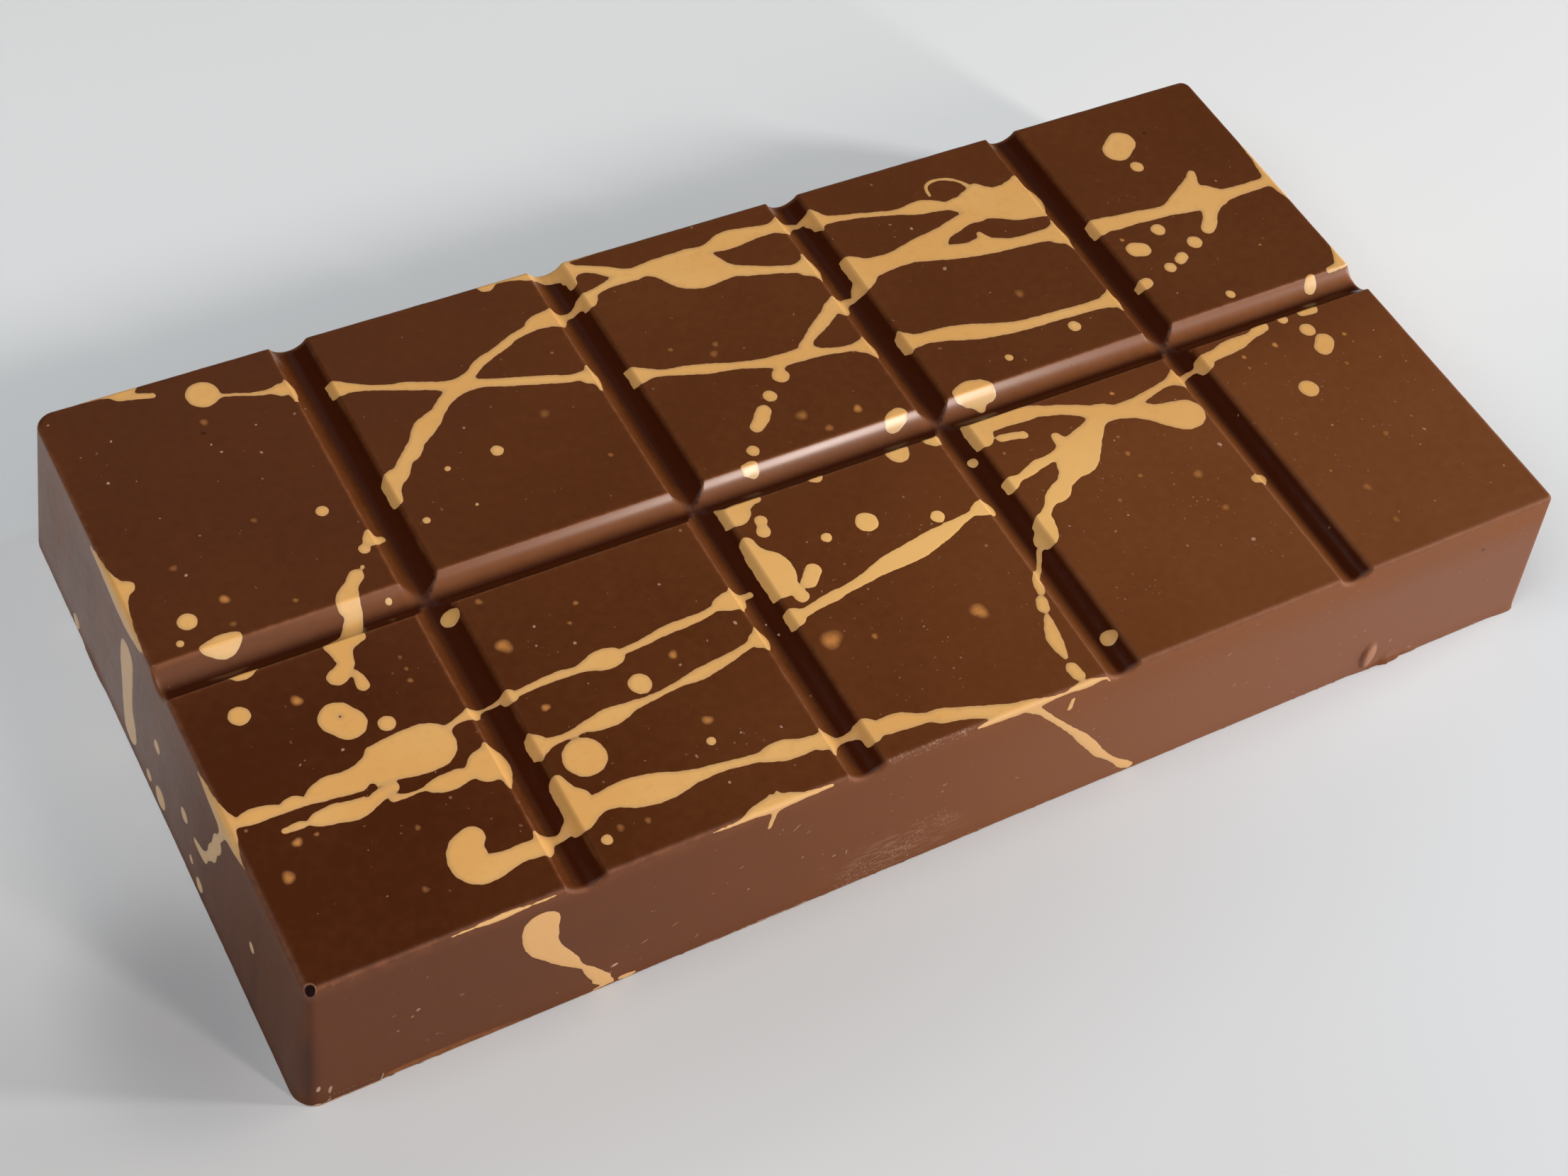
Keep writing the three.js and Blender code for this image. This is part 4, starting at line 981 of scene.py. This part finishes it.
def stroke_marks(nodes):
    """The round marks that make up a stroke: its nodes joined by a Catmull-Rom curve, in place
    and in width, so closely that the marks' edges run together."""
    nodes = np.array(nodes, float)
    if len(nodes) == 1:
        return nodes
    path = np.vstack([2 * nodes[0] - nodes[1], nodes, 2 * nodes[-1] - nodes[-2]])
    marks = []
    for a, b, c, d in zip(path, path[1:], path[2:], path[3:]):
        count = max(2, int(np.hypot(*(c - b)[:2]) / MARK_STEP))
        t = np.arange(count)[:, None] / count
        marks.append(0.5 * (2 * b + (c - a) * t + (2 * a - 5 * b + 4 * c - d) * t**2
                            + (3 * b - a - 3 * c + d) * t**3))
    marks = np.vstack([*marks, nodes[-1:]])
    marks[:, 2] = np.maximum(marks[:, 2], THINNEST)
    return marks


FAR_OUT = 9.0                              # stands for any place far from a splash
MARK_REACH, STROKE_REACH = 1.1, 1.2        # how far outside marks and strokes is worked out
WEB = 0.55                                 # how widely the crooks between strokes are webbed
CUT_OFF = 1.42                             # where strokes end on a wall, from a groove's middle


def outside_marks(us, vs, marks):
    """How far each crossing of the lines lies outside the nearest of some round marks."""
    field = np.full((len(us), len(vs)), FAR_OUT)
    for u, v, half in marks:
        reach = half + MARK_REACH
        i, ii = np.searchsorted(us, (u - reach, u + reach))
        j, jj = np.searchsorted(vs, (v - reach, v + reach))
        near = np.hypot(us[i:ii, None] - u, vs[None, j:jj] - v) - half
        field[i:ii, j:jj] = np.minimum(field[i:ii, j:jj], near)
    return field


def splash_field(us, vs, strokes, bare):
    """How far each crossing lies outside the splashes: the strokes' fields joined by a smooth
    minimum, which webs the crooks where strokes meet, with the bare places taken out and a
    slight waviness all over. A stroke that runs down a cross groove's right wall without
    crossing the groove is cut off straight part of the way down."""
    field = np.full((len(us), len(vs)), FAR_OUT)
    for nodes in strokes:
        marks = stroke_marks(nodes)
        low = (marks[:, :2] - marks[:, 2:]).min(0) - STROKE_REACH
        high = (marks[:, :2] + marks[:, 2:]).max(0) + STROKE_REACH
        i, ii = np.searchsorted(us, (low[0], high[0]))
        j, jj = np.searchsorted(vs, (low[1], high[1]))
        own, so_far = outside_marks(us[i:ii], vs[j:jj], marks), field[i:ii, j:jj]
        for middle in CROSS_GROOVES:
            at, off = marks[:, 0] - middle, us[i:ii, None] - middle
            on_wall = ((at > 0.7) & (at < 2.6) & (np.abs(marks[:, 1]) < EDGE[1])).any()
            on_floor = (np.abs(at + 0.2) < 0.9).any()
            if len(nodes) > 1 and on_wall and not on_floor:
                own = np.maximum(own, np.where(np.abs(off) < 2.6, CUT_OFF - off, -FAR_OUT))
        field[i:ii, j:jj] = (np.minimum(own, so_far)
                             - np.maximum(WEB - np.abs(own - so_far), 0)**2 / (4 * WEB))
    for nodes in bare:
        field = np.maximum(field, -outside_marks(us, vs, stroke_marks(nodes)))
    u, v = us[:, None], vs[None, :]
    return field + 0.035 * (np.sin(2.3 * u + 1.7 * np.sin(1.1 * v)) * np.sin(2.9 * v + u)
                            + 0.6 * np.sin(5.7 * u - 3.1 * v) * np.sin(4.3 * v + 2.2 * u))


FILM_STEP = 0.2                            # the film's mesh size at most


def split_lines(lines):
    """The same lines, with more between them so that none are too far apart."""
    parts = [np.linspace(a, b, max(1, math.ceil((b - a) / FILM_STEP - 1e-9)) + 1)[:-1]
             for a, b in zip(lines, lines[1:])]
    return np.concatenate(parts + [lines[-1:]])


def sheet_lines(axis, grooves):
    """Lines over the unrolled skin: the block's own mesh lines, split finely, and more lines
    round the rims and down both walls."""
    rim = EDGE[axis] + RIM * RIM_TURNS
    wall = rim[-1] + (HEIGHT - RIM - WALL_PLAIN) * np.array(WALL_PARTS)
    outer = np.concatenate([rim, wall, FOOT[axis:axis + 1]])
    return split_lines(np.concatenate([-outer[::-1], grid_lines(EDGE[axis], grooves), outer]))


FILM_PROUD, FILM_SUNK = 0.03, 0.15         # how far it stands out of the block and is sunk in
SWELL = 0.35                               # how far inside its outline it is at its highest
CUT_FROM = 0.04                            # the outline keeps this part of an edge off its ends


def cut_out(us, vs, field):
    """The triangles of the places where field is below 0, their points, and how far inside each
    point lies. Each half of a mesh cell is kept whole, cut off along the line where field is 0,
    or left out."""
    flat, across = field.ravel(), len(vs)
    inside = field < 0
    i, j = np.nonzero(inside[:-1, :-1] | inside[1:, :-1] | inside[:-1, 1:] | inside[1:, 1:])
    a, b, c, d = i * across + j, (i + 1) * across + j, (i + 1) * across + j + 1, i * across + j + 1
    corners = np.concatenate([np.stack([a, b, c], 1), np.stack([a, c, d], 1)])
    wet = flat[corners] < 0
    count = wet.sum(1)

    def odd_first(chosen, odd):
        turn = np.argmax(odd, axis=1)[:, None]
        return np.take_along_axis(chosen, (turn + np.arange(3)) % 3, axis=1)

    tips = odd_first(corners[count == 1], wet[count == 1])
    wedges = odd_first(corners[count == 2], ~wet[count == 2])
    cuts = np.concatenate([tips[:, (0, 1)], tips[:, (0, 2)], wedges[:, (0, 1)], wedges[:, (0, 2)]])
    pairs, cut_at = np.unique(np.sort(cuts, axis=1), axis=0, return_inverse=True)
    cut_at = cut_at.ravel() + flat.size
    n, m = len(tips), len(wedges)
    tip_b, tip_c = cut_at[:n], cut_at[n:2 * n]
    wedge_b, wedge_c = cut_at[2 * n:2 * n + m], cut_at[2 * n + m:]
    triangles = np.concatenate([
        corners[count == 3], np.stack([tips[:, 0], tip_b, tip_c], 1),
        np.stack([wedge_b, wedges[:, 1], wedges[:, 2]], 1),
        np.stack([wedge_b, wedges[:, 2], wedge_c], 1)])
    part = flat[pairs[:, 0]] / (flat[pairs[:, 0]] - flat[pairs[:, 1]])
    part = np.clip(part, CUT_FROM, 1 - CUT_FROM)[:, None]
    grid = np.stack(np.meshgrid(us, vs, indexing="ij"), -1).reshape(-1, 2)
    sheet = np.concatenate([grid, grid[pairs[:, 0]] * (1 - part) + grid[pairs[:, 1]] * part])
    within = np.concatenate([np.maximum(-flat, 0), np.zeros(len(pairs))])
    used, triangles = np.unique(triangles, return_inverse=True)
    return sheet[used], within[used], triangles.reshape(-1, 3)


def film(name, us, vs, field):
    """A closed film over the places where field is below 0. Its upper side stands proud of the
    skin by less towards its outline, and its lower side is sunk into the block."""
    sheet, within, triangles = cut_out(us, vs, field)
    surface, normal = skin(*sheet.T), skin_normal(*sheet.T)
    swell = np.clip(within / SWELL, 0, 1)
    upper = surface + normal * (FILM_PROUD * (0.2 + 0.8 * swell * (2 - swell)))[:, None]
    points = np.concatenate([upper, surface - normal * FILM_SUNK])
    count = len(sheet)
    edges = np.concatenate([triangles[:, (0, 1)], triangles[:, (1, 2)], triangles[:, (2, 0)]])
    keys = edges[:, 0] * count + edges[:, 1]
    rim = edges[~np.isin(keys, edges[:, 1] * count + edges[:, 0])]
    skirt = np.stack([rim[:, 1], rim[:, 0], rim[:, 0] + count, rim[:, 1] + count], 1)
    thing = add_mesh(name, points, [triangles, triangles[:, ::-1] + count, skirt])
    store(thing, "within", np.concatenate([within, np.full(count, 1.0)]))
    return thing, points


us, vs = sheet_lines(0, CROSS_GROOVES), sheet_lines(1, (0.0,))
strokes = list(TOP_STROKES)
strokes += [[(x, z - FOOT[1], w) for x, z, w in nodes] for nodes in FRONT_STROKES]
strokes += [[(x, FOOT[1] - z, w) for x, z, w in nodes] for nodes in BACK_STROKES]
strokes += [[(z - FOOT[0], y, w) for y, z, w in nodes] for nodes in LEFT_STROKES]
strokes += [[(FOOT[0] - z, y, w) for y, z, w in nodes] for nodes in RIGHT_STROKES]
# Nothing lies where both walls would be, at the unrolled skin's corners, nor right at the foot.
beyond = [np.abs(us)[:, None], np.abs(vs)[None, :]]
off_sheet = np.minimum(beyond[0] - EDGE[0] + 1.2, beyond[1] - EDGE[1] + 1.2) > 0
above_foot = np.maximum(beyond[0] - FOOT[0], beyond[1] - FOOT[1]) + 0.1
field = np.where(off_sheet, FAR_OUT, np.maximum(splash_field(us, vs, strokes, BARE), above_foot))

CARAMEL, CARAMEL_LIGHT = (0.80, 0.42, 0.125, 1), (0.84, 0.47, 0.155, 1)

cocoa_butter, tree, sockets, place = new_material("caramel_cocoa_butter")
parts = add_node(tree, "ShaderNodeSeparateXYZ", Vector=place).outputs
cast = add_grain(tree, place, read(tree, "dull"))
within = read(tree, "within")
colour = layered(
    tree, CARAMEL, (fade(tree, cast["Cloud"], 0.35, 0.7), CARAMEL_LIGHT),
    (fade(tree, cast["Mottle"], 0.5, 0.72, 0.0, 0.4), (0.72, 0.36, 0.10, 1)),
    # a duller margin and a thin dark outline
    (fade(tree, within, 0.0, 0.55, 0.7, 0.0), (0.60, 0.345, 0.14, 1)),
    (fade(tree, within, 0.0, 0.07, 0.6, 0.0), (0.30, 0.13, 0.04, 1)),
    # painted sheen on the left wall, painted shade on the front wall, and painted light on the middle
    # of the top
    (fade(tree, parts["X"], -0.0724, -0.0728, 0.0, 0.5), (0.72, 0.52, 0.31, 1)),
    (fade(tree, parts["Y"], -0.0358, -0.0363, 0.0, 0.8), (0.68, 0.385, 0.145, 1)),
    (spot(tree, place, (8.0, -13.0, 19.1), (40.0, 13.0, 9.0), 0.9, 0.8), (0.95, 0.56, 0.19, 1)),
    # painted shade on the right walls of the cross grooves, and a painted glint that makes the far
    # side of the lengthwise one pale
    (times(tree, read(tree, "shaded"), 0.3), (0.52, 0.24, 0.06, 1)),
    (times(tree, read(tree, "pale"), 0.4), (0.78, 0.58, 0.32, 1)),
    # pinholes
    (flecks(tree, place, 800.0, 0.05, 0.09, 1.5, 0.5), (0.33, 0.13, 0.035, 1)))
finish_cast(tree, sockets, colour, cast["Dull"], cast["Height"], 0.5, 1.46)
add_shine(tree, sockets)

# The film is parted into three pieces along the bar, so that none has too many faces.
PARTED_AT = (-15.2, 14.8)
parting = [0, *np.searchsorted(us, PARTED_AT), len(us) - 1]
for name, first, last in zip(("left", "middle", "right"), parting, parting[1:]):
    made, points = film("splashes_" + name, us[first:last + 1], vs, field[first:last + 1])
    x, y, z = points.T
    across, on_top = from_cross_groove(x), z > HEIGHT - 1.5
    store(made, "dull", np.minimum(dullness(x, y, 0.4), 0.45))
    store(made, "polish", polish(x, y, z))
    # painted shade on the cross grooves' right walls, and a painted glint on the lengthwise groove's
    # far side
    store(made, "shaded", ease(across, 0.1, 0.6) * ease(-across, -2.15, -1.75) * on_top)
    store(made, "pale", lengthwise(x, y) * ease(y, -0.4, 0.8) * ease(-y, -2.3, -1.9) * on_top)
    made.data.materials.append(cocoa_butter)
    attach(made, "root")


# --- The thin drops and pale flecks -----------------------------------------------------------
# Where a drop was too thin to hide the chocolate it shows as a soft brown-orange spot, and the
# finest spray left pale flecks. Each is a small round lens set into the skin.

# Spots as (x, y, radius, how much caramel shows).
THIN_DROPS = (
    (-56.9, 29, .45, .25), (-63.2, 6.9, .55, .5), (-66.3, 12.4, .4, .2), (-57, 15, .35, .2),
    (-57, 4.1, .3, .25), (-63.5, 3.8, .35, .25), (-61.4, -7, .6, .5), (-67.2, -21.6, .5, .5),
    (-69.3, -24.7, .65, .5), (-65.3, -21.5, .25, .3), (-56.7, -24.6, .3, .2),
    (-58.7, -30.9, .35, .2), (-50.5, -6.2, .22, .25), (-50.5, -7.7, .24, .25),
    (-50.7, -9.1, .3, .25), (-20.3, 9, .3, .25), (-24.2, 16.8, .6, .14), (-40.8, -9, .85, .5),
    (-26.1, -16.5, .5, .5), (-40.2, -17.2, .45, .6), (-33.7, -9, .25, .3), (-32.1, -7, .3, .3),
    (-26.6, -24.8, .55, .5), (-40.8, -3.1, .4, .25), (-39.7, -32.3, .4, .25),
    (-37, -32.6, .35, .25), (1, 6.1, .7, .25), (7.1, 4.6, .55, .5), (2.9, 3.4, .5, .3),
    (-2.8, 18.8, .4, .2), (-3.6, 17.6, .5, .2), (-7.7, 19.9, .3, .25), (-10.7, -21.2, 1.15, .5),
    (5, -24.1, .95, .5), (-6.5, -22.6, .35, .4), (33, 12.7, .6, .2), (36.9, -17.8, .6, .25),
    (37, -22.9, .45, .25), (31.3, -12.3, .35, .3), (30.8, -15.5, .3, .25), (26.8, -17.5, .3, .25),
    (31.6, -9.9, .2, .3), (49, 15.5, .3, .7), (64.2, 8.7, .2, .4), (51.8, -5.5, .3, .6),
    (56.3, -5.3, .4, .6), (65, -7, .3, .4), (53.4, -26.7, .5, .2), (53.6, -31.7, .4, .2),
    (60.2, -21.2, .4, .2), (51, -23.2, .2, .3), (62.5, -10.8, .3, .25), (34.5, -4.3, .3, .6),
)
PALE_FLECKS = (
    (-68.4, 25, .2), (-71.3, 34.5, .15), (-66.3, 30.1, .15), (-57.3, 25.9, .15),
    (-56.7, 24.6, .18), (-52.2, 26.7, .15), (-65.5, 11.1, .2), (-59.6, -13.9, .2),
    (-35.8, 8.3, .22), (-32.8, 18.2, .17), (-37.1, -8, .18), (-37.9, -10.2, .15),
    (-34.3, -11.4, .22), (-26, -17.9, .18), (-23.4, -8.2, .18), (-18.6, -15.5, .25),
    (-15.3, -16.2, .2), (-14.7, -17.8, .2), (-24.3, -27.4, .15), (-20.4, -28.4, .18),
    (-28, -32, .18), (27, 19.3, .3), (26.7, 26.3, .22), (41.6, -15.2, .3), (37.3, -27.7, .3),
    (26.5, -19.6, .14),
)
# The finest spray is scattered in patches: middle of each patch, its half sizes, how many.
SPRAY = ((0, -20, 11, 12, 110), (30, -18, 12, 13, 150), (58, -20, 12, 13, 120),
         (-30, -20, 12, 13, 60), (-58, -20, 12, 13, 45), (30, 18, 13, 15, 60), (0, 18, 13, 15, 50),
         (58, 18, 12, 15, 50), (-30, 18, 13, 15, 35), (-58, 20, 12, 14, 30))


def round_corner(x, z):
    """Where along the front edge of the flat top a place x of the front wall lies, near the
    left corner: the outline's own course, read backwards."""
    zone_end, fine = CORNER_ZONE - EDGE[0], 81
    along = np.linspace(-EDGE[0], zone_end, fine)
    at = [outline(along, np.full(fine, -EDGE[1]), np.full(fine, height), 0.0)[0] for height in z]
    return np.array([np.interp(one, row, along) if one < zone_end else one
                     for one, row in zip(x, at)])


def scattered():
    """The fine marks as rows of place, half width, how drawn out, lean and how pale: spray in
    patches of the top, small rubs all over the front wall, a scuff low on it, and crumbled
    chocolate along the front edge of the top and the foot."""
    roll = np.random.default_rng(8)
    marks = []

    def add(u, v, half, drawn, lean, pale):
        marks.append(np.column_stack(np.broadcast_arrays(u, v, half, drawn, lean, pale)))

    for x, y, half_x, half_y, count in SPRAY:
        add(roll.uniform(x - half_x, x + half_x, count), roll.uniform(y - half_y, y + half_y, count),
            0.05 + 0.09 * roll.random(count)**3, 1 + roll.random(count)**2, roll.uniform(0, 3, count),
            0.12 + 0.5 * roll.random(count)**2)
    # rubs all over the front wall
    add(roll.uniform(-71, 71, 190), roll.uniform(1.0, 17.5, 190) - FOOT[1],
        0.04 + 0.06 * roll.random(190)**2, 1.1 + 2.6 * roll.random(190)**2,
        roll.normal(0.45, 0.5, 190), 0.1 + 0.5 * roll.random(190)**2)
    # the scuff low on it, rising to the right
    along = roll.random(300)
    add(-16.8 + 12.8 * along + roll.normal(0, 0.9, 300),
        np.clip(0.8 + 5.2 * along**1.3 + roll.normal(0, 0.95, 300), 0.3, 9) - FOOT[1],
        0.03 + 0.055 * roll.random(300), 1 + 1.2 * roll.random(300)**3,
        roll.normal(0.45, 0.6, 300), 0.12 + 0.5 * roll.random(300))
    # wear along the front edge of the top: a rubbed stretch, and the rest
    add(roll.uniform(-13, -3, 110), -EDGE[1] - 0.1 - 0.9 * roll.random(110)**1.5,
        0.03 + 0.035 * roll.random(110), 1.2 + 2 * roll.random(110), roll.normal(0.1, 0.5, 110),
        0.2 + 0.45 * roll.random(110))
    add(roll.uniform(-71.5, 71.5, 60), -EDGE[1] - roll.uniform(0.2, 0.7, 60),
        0.03 + 0.02 * roll.random(60), 1.5 + 3 * roll.random(60), roll.normal(0, 0.05, 60),
        0.12 + 0.2 * roll.random(60))
    # crumbled chocolate at the foot: by the front left corner, above it, and further right
    fringe = round_corner(np.linspace(-73.3, -66.2, 34) + roll.normal(0, 0.05, 34), np.full(34, 0.1))
    add(fringe, 0.12 + 0.05 * roll.random(34) - FOOT[1], 0.07 + 0.05 * roll.random(34),
        1.2 + 1.2 * roll.random(34), roll.normal(0.03, 0.12, 34), 0.65 + 0.3 * roll.random(34))
    add(np.linspace(-70.6, -66.6, 16), 0.87 + 0.2 * roll.random(16) - FOOT[1], 0.04, 2.2,
        roll.normal(0.0, 0.1, 16), 0.15 + 0.3 * roll.random(16)**2)
    add(roll.uniform(-32, -20, 30), roll.uniform(0.1, 0.35, 30) - FOOT[1],
        0.05 + 0.04 * roll.random(30), 4 + 5 * roll.random(30), roll.normal(0.02, 0.05, 30),
        0.35 + 0.35 * roll.random(30))
    add(roll.uniform(-65, 72, 90), 0.08 + 0.4 * roll.random(90)**2 - FOOT[1],
        0.03 + 0.025 * roll.random(90), 3 + 7 * roll.random(90), roll.normal(0.02, 0.05, 90),
        0.3 + 0.4 * roll.random(90))
    return np.concatenate(marks)


OVER_LIP = 0.07                            # how much further marks by the corner's foot stand out


def lenses(name, marks, around, rings, proud, sunk):
    """Round or drawn-out lenses set into the skin, all in one mesh. Each upper side is rings of
    points about its middle, which fall from proud towards the outline, and one sunk point closes
    it below. They are palest in the middle, and all over if they have a single ring. Those on the
    front wall follow the rounded outline, and by its left corner they stand further out at the
    foot, over the lip."""
    u, v, half, drawn, lean = [column[:, None, None] for column in marks.T[:5]]
    angle = 2 * np.pi * np.arange(around) / around
    out = np.arange(1, rings + 1)[:, None] / rings
    wobble = 1 + 0.09 * np.sin(2 * angle + 7 * u) + 0.07 * np.sin(3 * angle + 5 * v)
    along = half * drawn * out * wobble * np.cos(angle)
    across = half * out * wobble * np.sin(angle)
    ring_u = u + along * np.cos(lean) - across * np.sin(lean)
    ring_v = v + along * np.sin(lean) + across * np.cos(lean)
    count, each = len(marks), rings * around + 2
    shape = [np.concatenate([ring.reshape(count, -1), middle[:, 0], middle[:, 0]], 1)
             for ring, middle in ((ring_u, u), (ring_v, v))]
    lift = np.append(np.repeat(proud * (1 - 0.9 * out[:, 0]**2), around), [proud, -sunk])
    points = skin(*shape) + skin_normal(*shape) * lift[:, None]
    on_front = (shape[1] < -EDGE[1] - RIM * np.pi / 2) & (np.abs(shape[0]) < EDGE[0] + 2)
    at_foot = ease(-points[..., 2], -1.15, -0.8) * ease(-points[..., 0], 64.5, 65.5)
    lift = lift + np.where(lift > 0, OVER_LIP, 0.0) * at_foot
    x, y = outline(np.clip(shape[0], -EDGE[0], EDGE[0]), np.full(shape[0].shape, -EDGE[1]),
                   points[..., 2], -lift)
    points[..., 0], points[..., 1] = np.where(on_front, (x, y), (points[..., 0], points[..., 1]))
    index = np.arange(rings * around).reshape(rings, around)
    quads = [band(index[r + 1], index[r]) for r in range(rings - 1)]
    shift = (each * np.arange(count))[:, None, None]
    groups = [(np.concatenate(caps(index, each - 2))[None] + shift).reshape(-1, 3)]
    if quads:
        groups.append((np.concatenate(quads)[None] + shift).reshape(-1, 4))
    thing = add_mesh(name, points.reshape(-1, 3), groups)
    fading = (1 - out[:, 0]**2)**1.3 if rings > 1 else 0.75 * out[:, 0]
    covered = np.append(np.repeat(fading, around), [1, 0])
    store(thing, "cover", (marks[:, 5:] * covered).ravel())
    # the chocolate round the marks takes the same dusting and painted light and shade as the block
    store(thing, "dust_and_shading", dust_light_and_shade(*points.reshape(-1, 3).T))
    return thing


drops = np.array(THIN_DROPS)
drops = np.column_stack([drops[:, :2], 1.12 * drops[:, 2], np.full(len(drops), 1.0),
                         np.zeros(len(drops)), np.minimum(1.8 * drops[:, 3], 0.97)])
thin_drops = lenses("thin_drops", drops, 20, 5, 0.012, 0.08)
larger = np.array(PALE_FLECKS)
larger = np.column_stack([larger[:, :2], 0.8 * larger[:, 2], np.full(len(larger), 1.2),
                          7 * larger[:, 0], np.full(len(larger), 0.8)])
# Nicks and rubs on the front wall: place along it, height, half width, how drawn out, lean and
# how pale.
nicks = np.array([
    (-72.1, 2.8, .11, 4.6, 1.5, .95), (-71.0, 2.0, .11, 5.2, 1.5, .85), (-71.2, .5, .08, 2, .8, .95),
    (-72.3, .3, .1, 2.0, .05, .95), (-65.9, .7, .09, 5.5, 1.2, .85),
    (-62, 9.4, .17, 1.5, .5, .8), (-41.7, 3.2, .2, 2.2, .3, .9), (-38.5, 5.2, .06, 7, .4, .6),
    (-35.2, 6.0, .045, 12, .42, .55), (-22.5, 14.2, .08, 8, .75, .5), (-21, 12.7, .06, 5, .6, .5),
    (-28.3, 11.2, .1, 2.5, .5, .5), (-17.5, 6.6, .13, 2, .4, .7), (-27.2, 6.9, .1, 1.6, .4, .7),
    (54.5, 3.9, .13, 2.2, .9, .6), (58.2, .95, .22, 1.3, .2, .5), (29.5, 14, .1, 4, .7, .4)])
nicks[:, 0] = round_corner(nicks[:, 0], nicks[:, 1])
nicks[:, 1] -= FOOT[1]
pale_flecks = lenses("pale_flecks", np.concatenate([larger, nicks, scattered()]), 8, 1,
                     0.01, 0.05)


def set_in_skin(thing, name, over, roughness):
    """The material of marks that let the chocolate show through: how pale they are decides how
    much of their own colour covers it."""
    made, tree, sockets, place = new_material(name)
    cast = add_grain(tree, place, roughness)
    # the chocolate showing through has the block's dusting and painted light and shade
    chocolate = blend(tree, read(tree, "dust_and_shading"), DEEP_BROWN, DUSTY_AND_LIT_BROWN)
    cover = times(tree, read(tree, "cover"), fade(tree, cast["Mottle"], 0.3, 0.7, 0.7, 1.2))
    finish_cast(tree, sockets, blend(tree, cover, chocolate, over), cast["Dull"], cast["Height"],
                0.5, 1.46)
    thing.data.materials.append(made)
    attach(thing, "root")


set_in_skin(thin_drops, "thin_cocoa_butter", (0.62, 0.25, 0.06, 1), 0.38)
set_in_skin(pale_flecks, "rubbed_chocolate", (0.53, 0.335, 0.24, 1), 0.5)


# --- The table, the light and the view --------------------------------------------------------
# A pale table whose tone carries painted light and shade, low lights from the right, the front right
# and the front, a soft one high up on the left, two faint ones behind on the right, and a dim cool
# room.

TABLE_HALF = 2500
table = add_mesh("table", np.array([[-1, -1, 0], [1, -1, 0], [1, 1, 0], [-1, 1, 0]]) * TABLE_HALF,
                 [[[0, 1, 2, 3]]])
table_top, tree, sockets, place = new_material("table_top")
parts = add_node(tree, "ShaderNodeSeparateXYZ", Vector=place).outputs
# The table's tone is painted light and shade: darker on the left nearer the bar, paler on the right
# and behind.
colour = layered(
    tree, (0.74, 0.75, 0.76, 1),
    (fade(tree, parts["Y"], -0.075, -0.045), (0.63, 0.635, 0.64, 1)),      # on the left
    (fade(tree, parts["X"], -0.03, 0.08), (0.79, 0.835, 0.87, 1)),         # on the right
    (fade(tree, parts["Y"], -0.040, 0.018), (0.945, 0.975, 0.99, 1)),      # behind
    # a painted shadow beside the bar's front left corner
    (spot(tree, place, (-80, -24, 0), (15, 19, 9), 0.85, 0.8), (0.46, 0.465, 0.48, 1)))
tree.links.new(colour, sockets["Base Color"])
sockets["Roughness"].default_value = 0.55
table.data.materials.append(table_top)


def area_light(name, azimuth, elevation, distance, size, power, colour):
    """A rectangular lamp at this direction from the bar, in degrees, turned to face it."""
    flat = math.cos(math.radians(elevation))
    toward = Vector((flat * math.cos(math.radians(azimuth)),
                     flat * math.sin(math.radians(azimuth)), math.sin(math.radians(elevation))))
    lamp = bpy.data.lights.new(name, "AREA")
    lamp.shape, lamp.size, lamp.size_y = "RECTANGLE", *size
    lamp.energy, lamp.color = power, colour
    lit = bpy.data.objects.new(name, lamp)
    lit.location = Vector((0, 0, 0.01)) + toward * distance
    lit.rotation_euler = toward.to_track_quat("Z", "Y").to_euler()
    bpy.context.scene.collection.objects.link(lit)


area_light("window", -30, 20, 0.91, (0.08, 0.13), 3.9, (1.0, 0.98, 0.96))
area_light("side_window", -5, 12, 0.9, (0.5, 0.22), 4.2, (1.0, 0.99, 0.97))
area_light("lamp", -65, 22, 1.2, (0.12, 0.8), 6.1, (1.0, 0.875, 0.80))
area_light("ceiling", -160, 60, 0.55, (0.42, 0.42), 1.72, (0.99, 1.0, 1.01))
area_light("shelf", 52, 44, 1.5, (1.5, 0.32), 0.18, (0.97, 0.98, 1.0))
area_light("far_shelf", 80, 48, 1.5, (0.5, 0.32), 0.09, (0.95, 0.98, 1.0))

room = bpy.data.worlds.new("room")
bpy.context.scene.world = room
room.use_nodes = True
room.node_tree.nodes["Background"].inputs["Color"].default_value = (0.90, 0.95, 1.0, 1)
room.node_tree.nodes["Background"].inputs["Strength"].default_value = 0.025
bpy.context.scene.view_settings.view_transform = "Standard"

eye = bpy.data.cameras.new("view")
eye.sensor_width, eye.sensor_fit, eye.lens = 36.0, "HORIZONTAL", 57.35
eye.clip_start, eye.clip_end = 0.01, 50.0
camera = bpy.data.objects.new("view", eye)
right, up, forward = ((0.8701, -0.4772, 0.1233), (0.3134, 0.7287, 0.6089),
                      (0.3804, 0.4912, -0.7836))
turned = Matrix((right, up, tuple(-part for part in forward))).transposed()
camera.matrix_world = Matrix.Translation((-0.10786, -0.13741, 0.2166)) @ turned.to_4x4()
bpy.context.scene.collection.objects.link(camera)
bpy.context.scene.camera = camera
